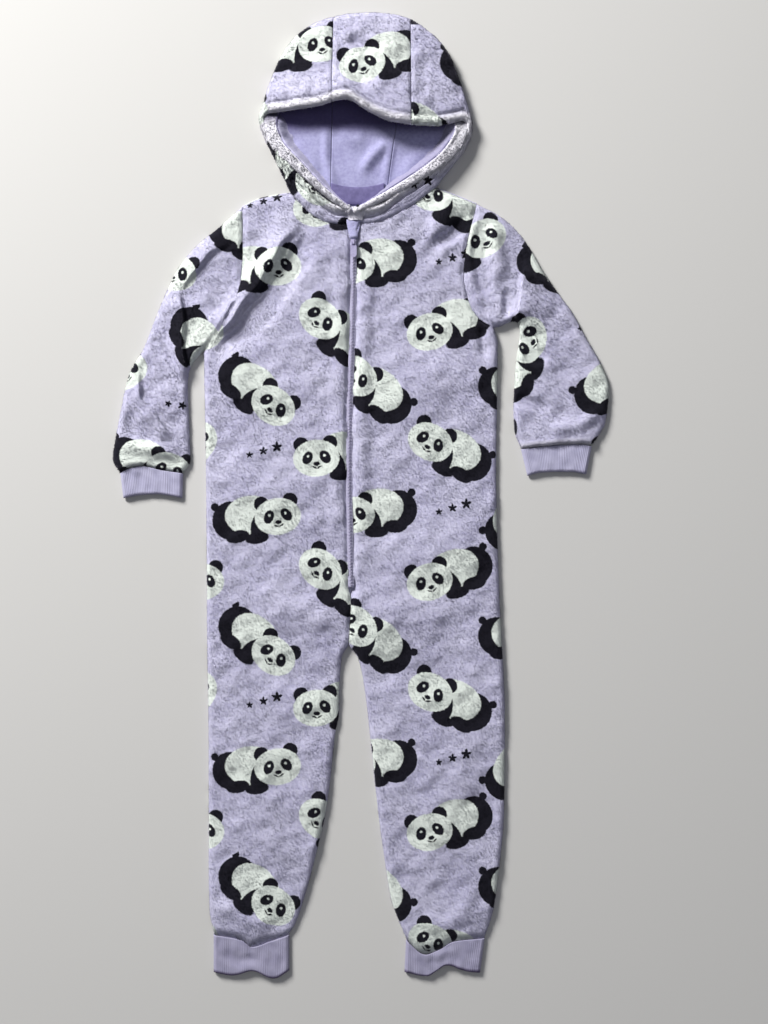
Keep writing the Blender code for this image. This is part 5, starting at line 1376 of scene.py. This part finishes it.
clothShells = []
for side in ("right", "left"):
    clothShells += [makeBack(side), makeFront(side), makeSleeve(side)]
print("body and sleeves laid out")
clothShells += [makeHood(side) for side in ("right", "left", "centre")]
print("hood made")
clothShells += [makeCuff(name) for name in cuffs]
print("cuffs made")
makeZip()
chinGuard = makeChinGuard()
finishMetal()
makeNape()
collarFold = makeCollarTurn()
facings = [makeFacing(side) for side in ("right", "left")]
for shell, line in facings:
    makeBars(shell.name.replace("facing", "stitches"), line, stitches)
print("zip, facing and stitches made")

grown = [growPile(chinGuard, "chin_guard_pile", length=0.55, seed=60, finish=plainPile),
         growPile(collarFold, "collar_turn_pile", length=0.8, seed=62, finish=plainPile)]
for shell, line in facings:
    grown.append(growPile(shell, shell.name + "_pile", amount=1.2, length=0.9, seed=61, finish=plainPile))
for number, shell in enumerate(clothShells):
    name = shell.name.replace("plush", "pile")
    if name.startswith("front"):
        grown.append(growPile(shell, name + "_legs", seed=number, band=(0, 500)))
        grown.append(growPile(shell, name + "_chest", seed=number + 20, band=(500, 1300)))
    elif name.startswith(("sleeve", "hood")):
        grown.append(growPile(shell, name, seed=number))
for pile in grown:
    print(pile.name, len(pile.data.polygons), "faces")


# Floor, light and camera

def makeFloor(half=8.0):
    material = newMaterial("paleFloor", {"Roughness": 0.85, "Specular IOR Level": 0.2,
                                         "Base Color": linear("#C6C5C4")})[0]
    points = [(x, y, 0.0) for x, y in ((-half, -half), (half, -half), (half, half), (-half, half))]
    meshPiece("floor", points, [(0, 1, 2, 3)], material, smooth=False)


def addLight(name, place, aim, energy, size, colour):
    data = bpy.data.lights.new(name, "AREA")
    data.energy = energy
    data.color = linear(colour)[:3]
    data.size = size
    lamp = bpy.data.objects.new(name, data)
    bpy.context.scene.collection.objects.link(lamp)
    lamp.location = place
    lamp.rotation_euler = (Vector(aim) - Vector(place)).to_track_quat("-Z", "Y").to_euler()


makeFloor()
addLight("windowLight", (-2.0, 2.6, 1.85), (0, 0.1, 0), 258, 1.0, "#FFFEFA")
addLight("ceilingFill", (0.4, -0.2, 2.6), (0, 0, 0), 6, 2.6, "#F4F6FF")
world = bpy.data.worlds.new("softRoom")
bpy.context.scene.world = world
world.use_nodes = True
world.node_tree.nodes["Background"].inputs["Color"].default_value = linear("#E9ECF4")
world.node_tree.nodes["Background"].inputs["Strength"].default_value = 0.2

bpy.context.scene.view_settings.view_transform = "Standard"      # colours as they are, with no film curve

# the camera looks straight down: spanSeen is how much it sees from top to bottom at that distance
camera = {"x": 0.02965, "y": -0.01954, "height": 1.506, "spanSeen": 1.28, "distance": 1.5}
lens = bpy.data.cameras.new("overhead")
lens.sensor_fit = "VERTICAL"
lens.angle = 2 * math.atan(camera["spanSeen"] / 2 / camera["distance"])
overhead = bpy.data.objects.new("overhead", lens)
bpy.context.scene.collection.objects.link(overhead)
overhead.location = (camera["x"], camera["y"], camera["height"])
bpy.context.scene.camera = overhead
print("stage set")
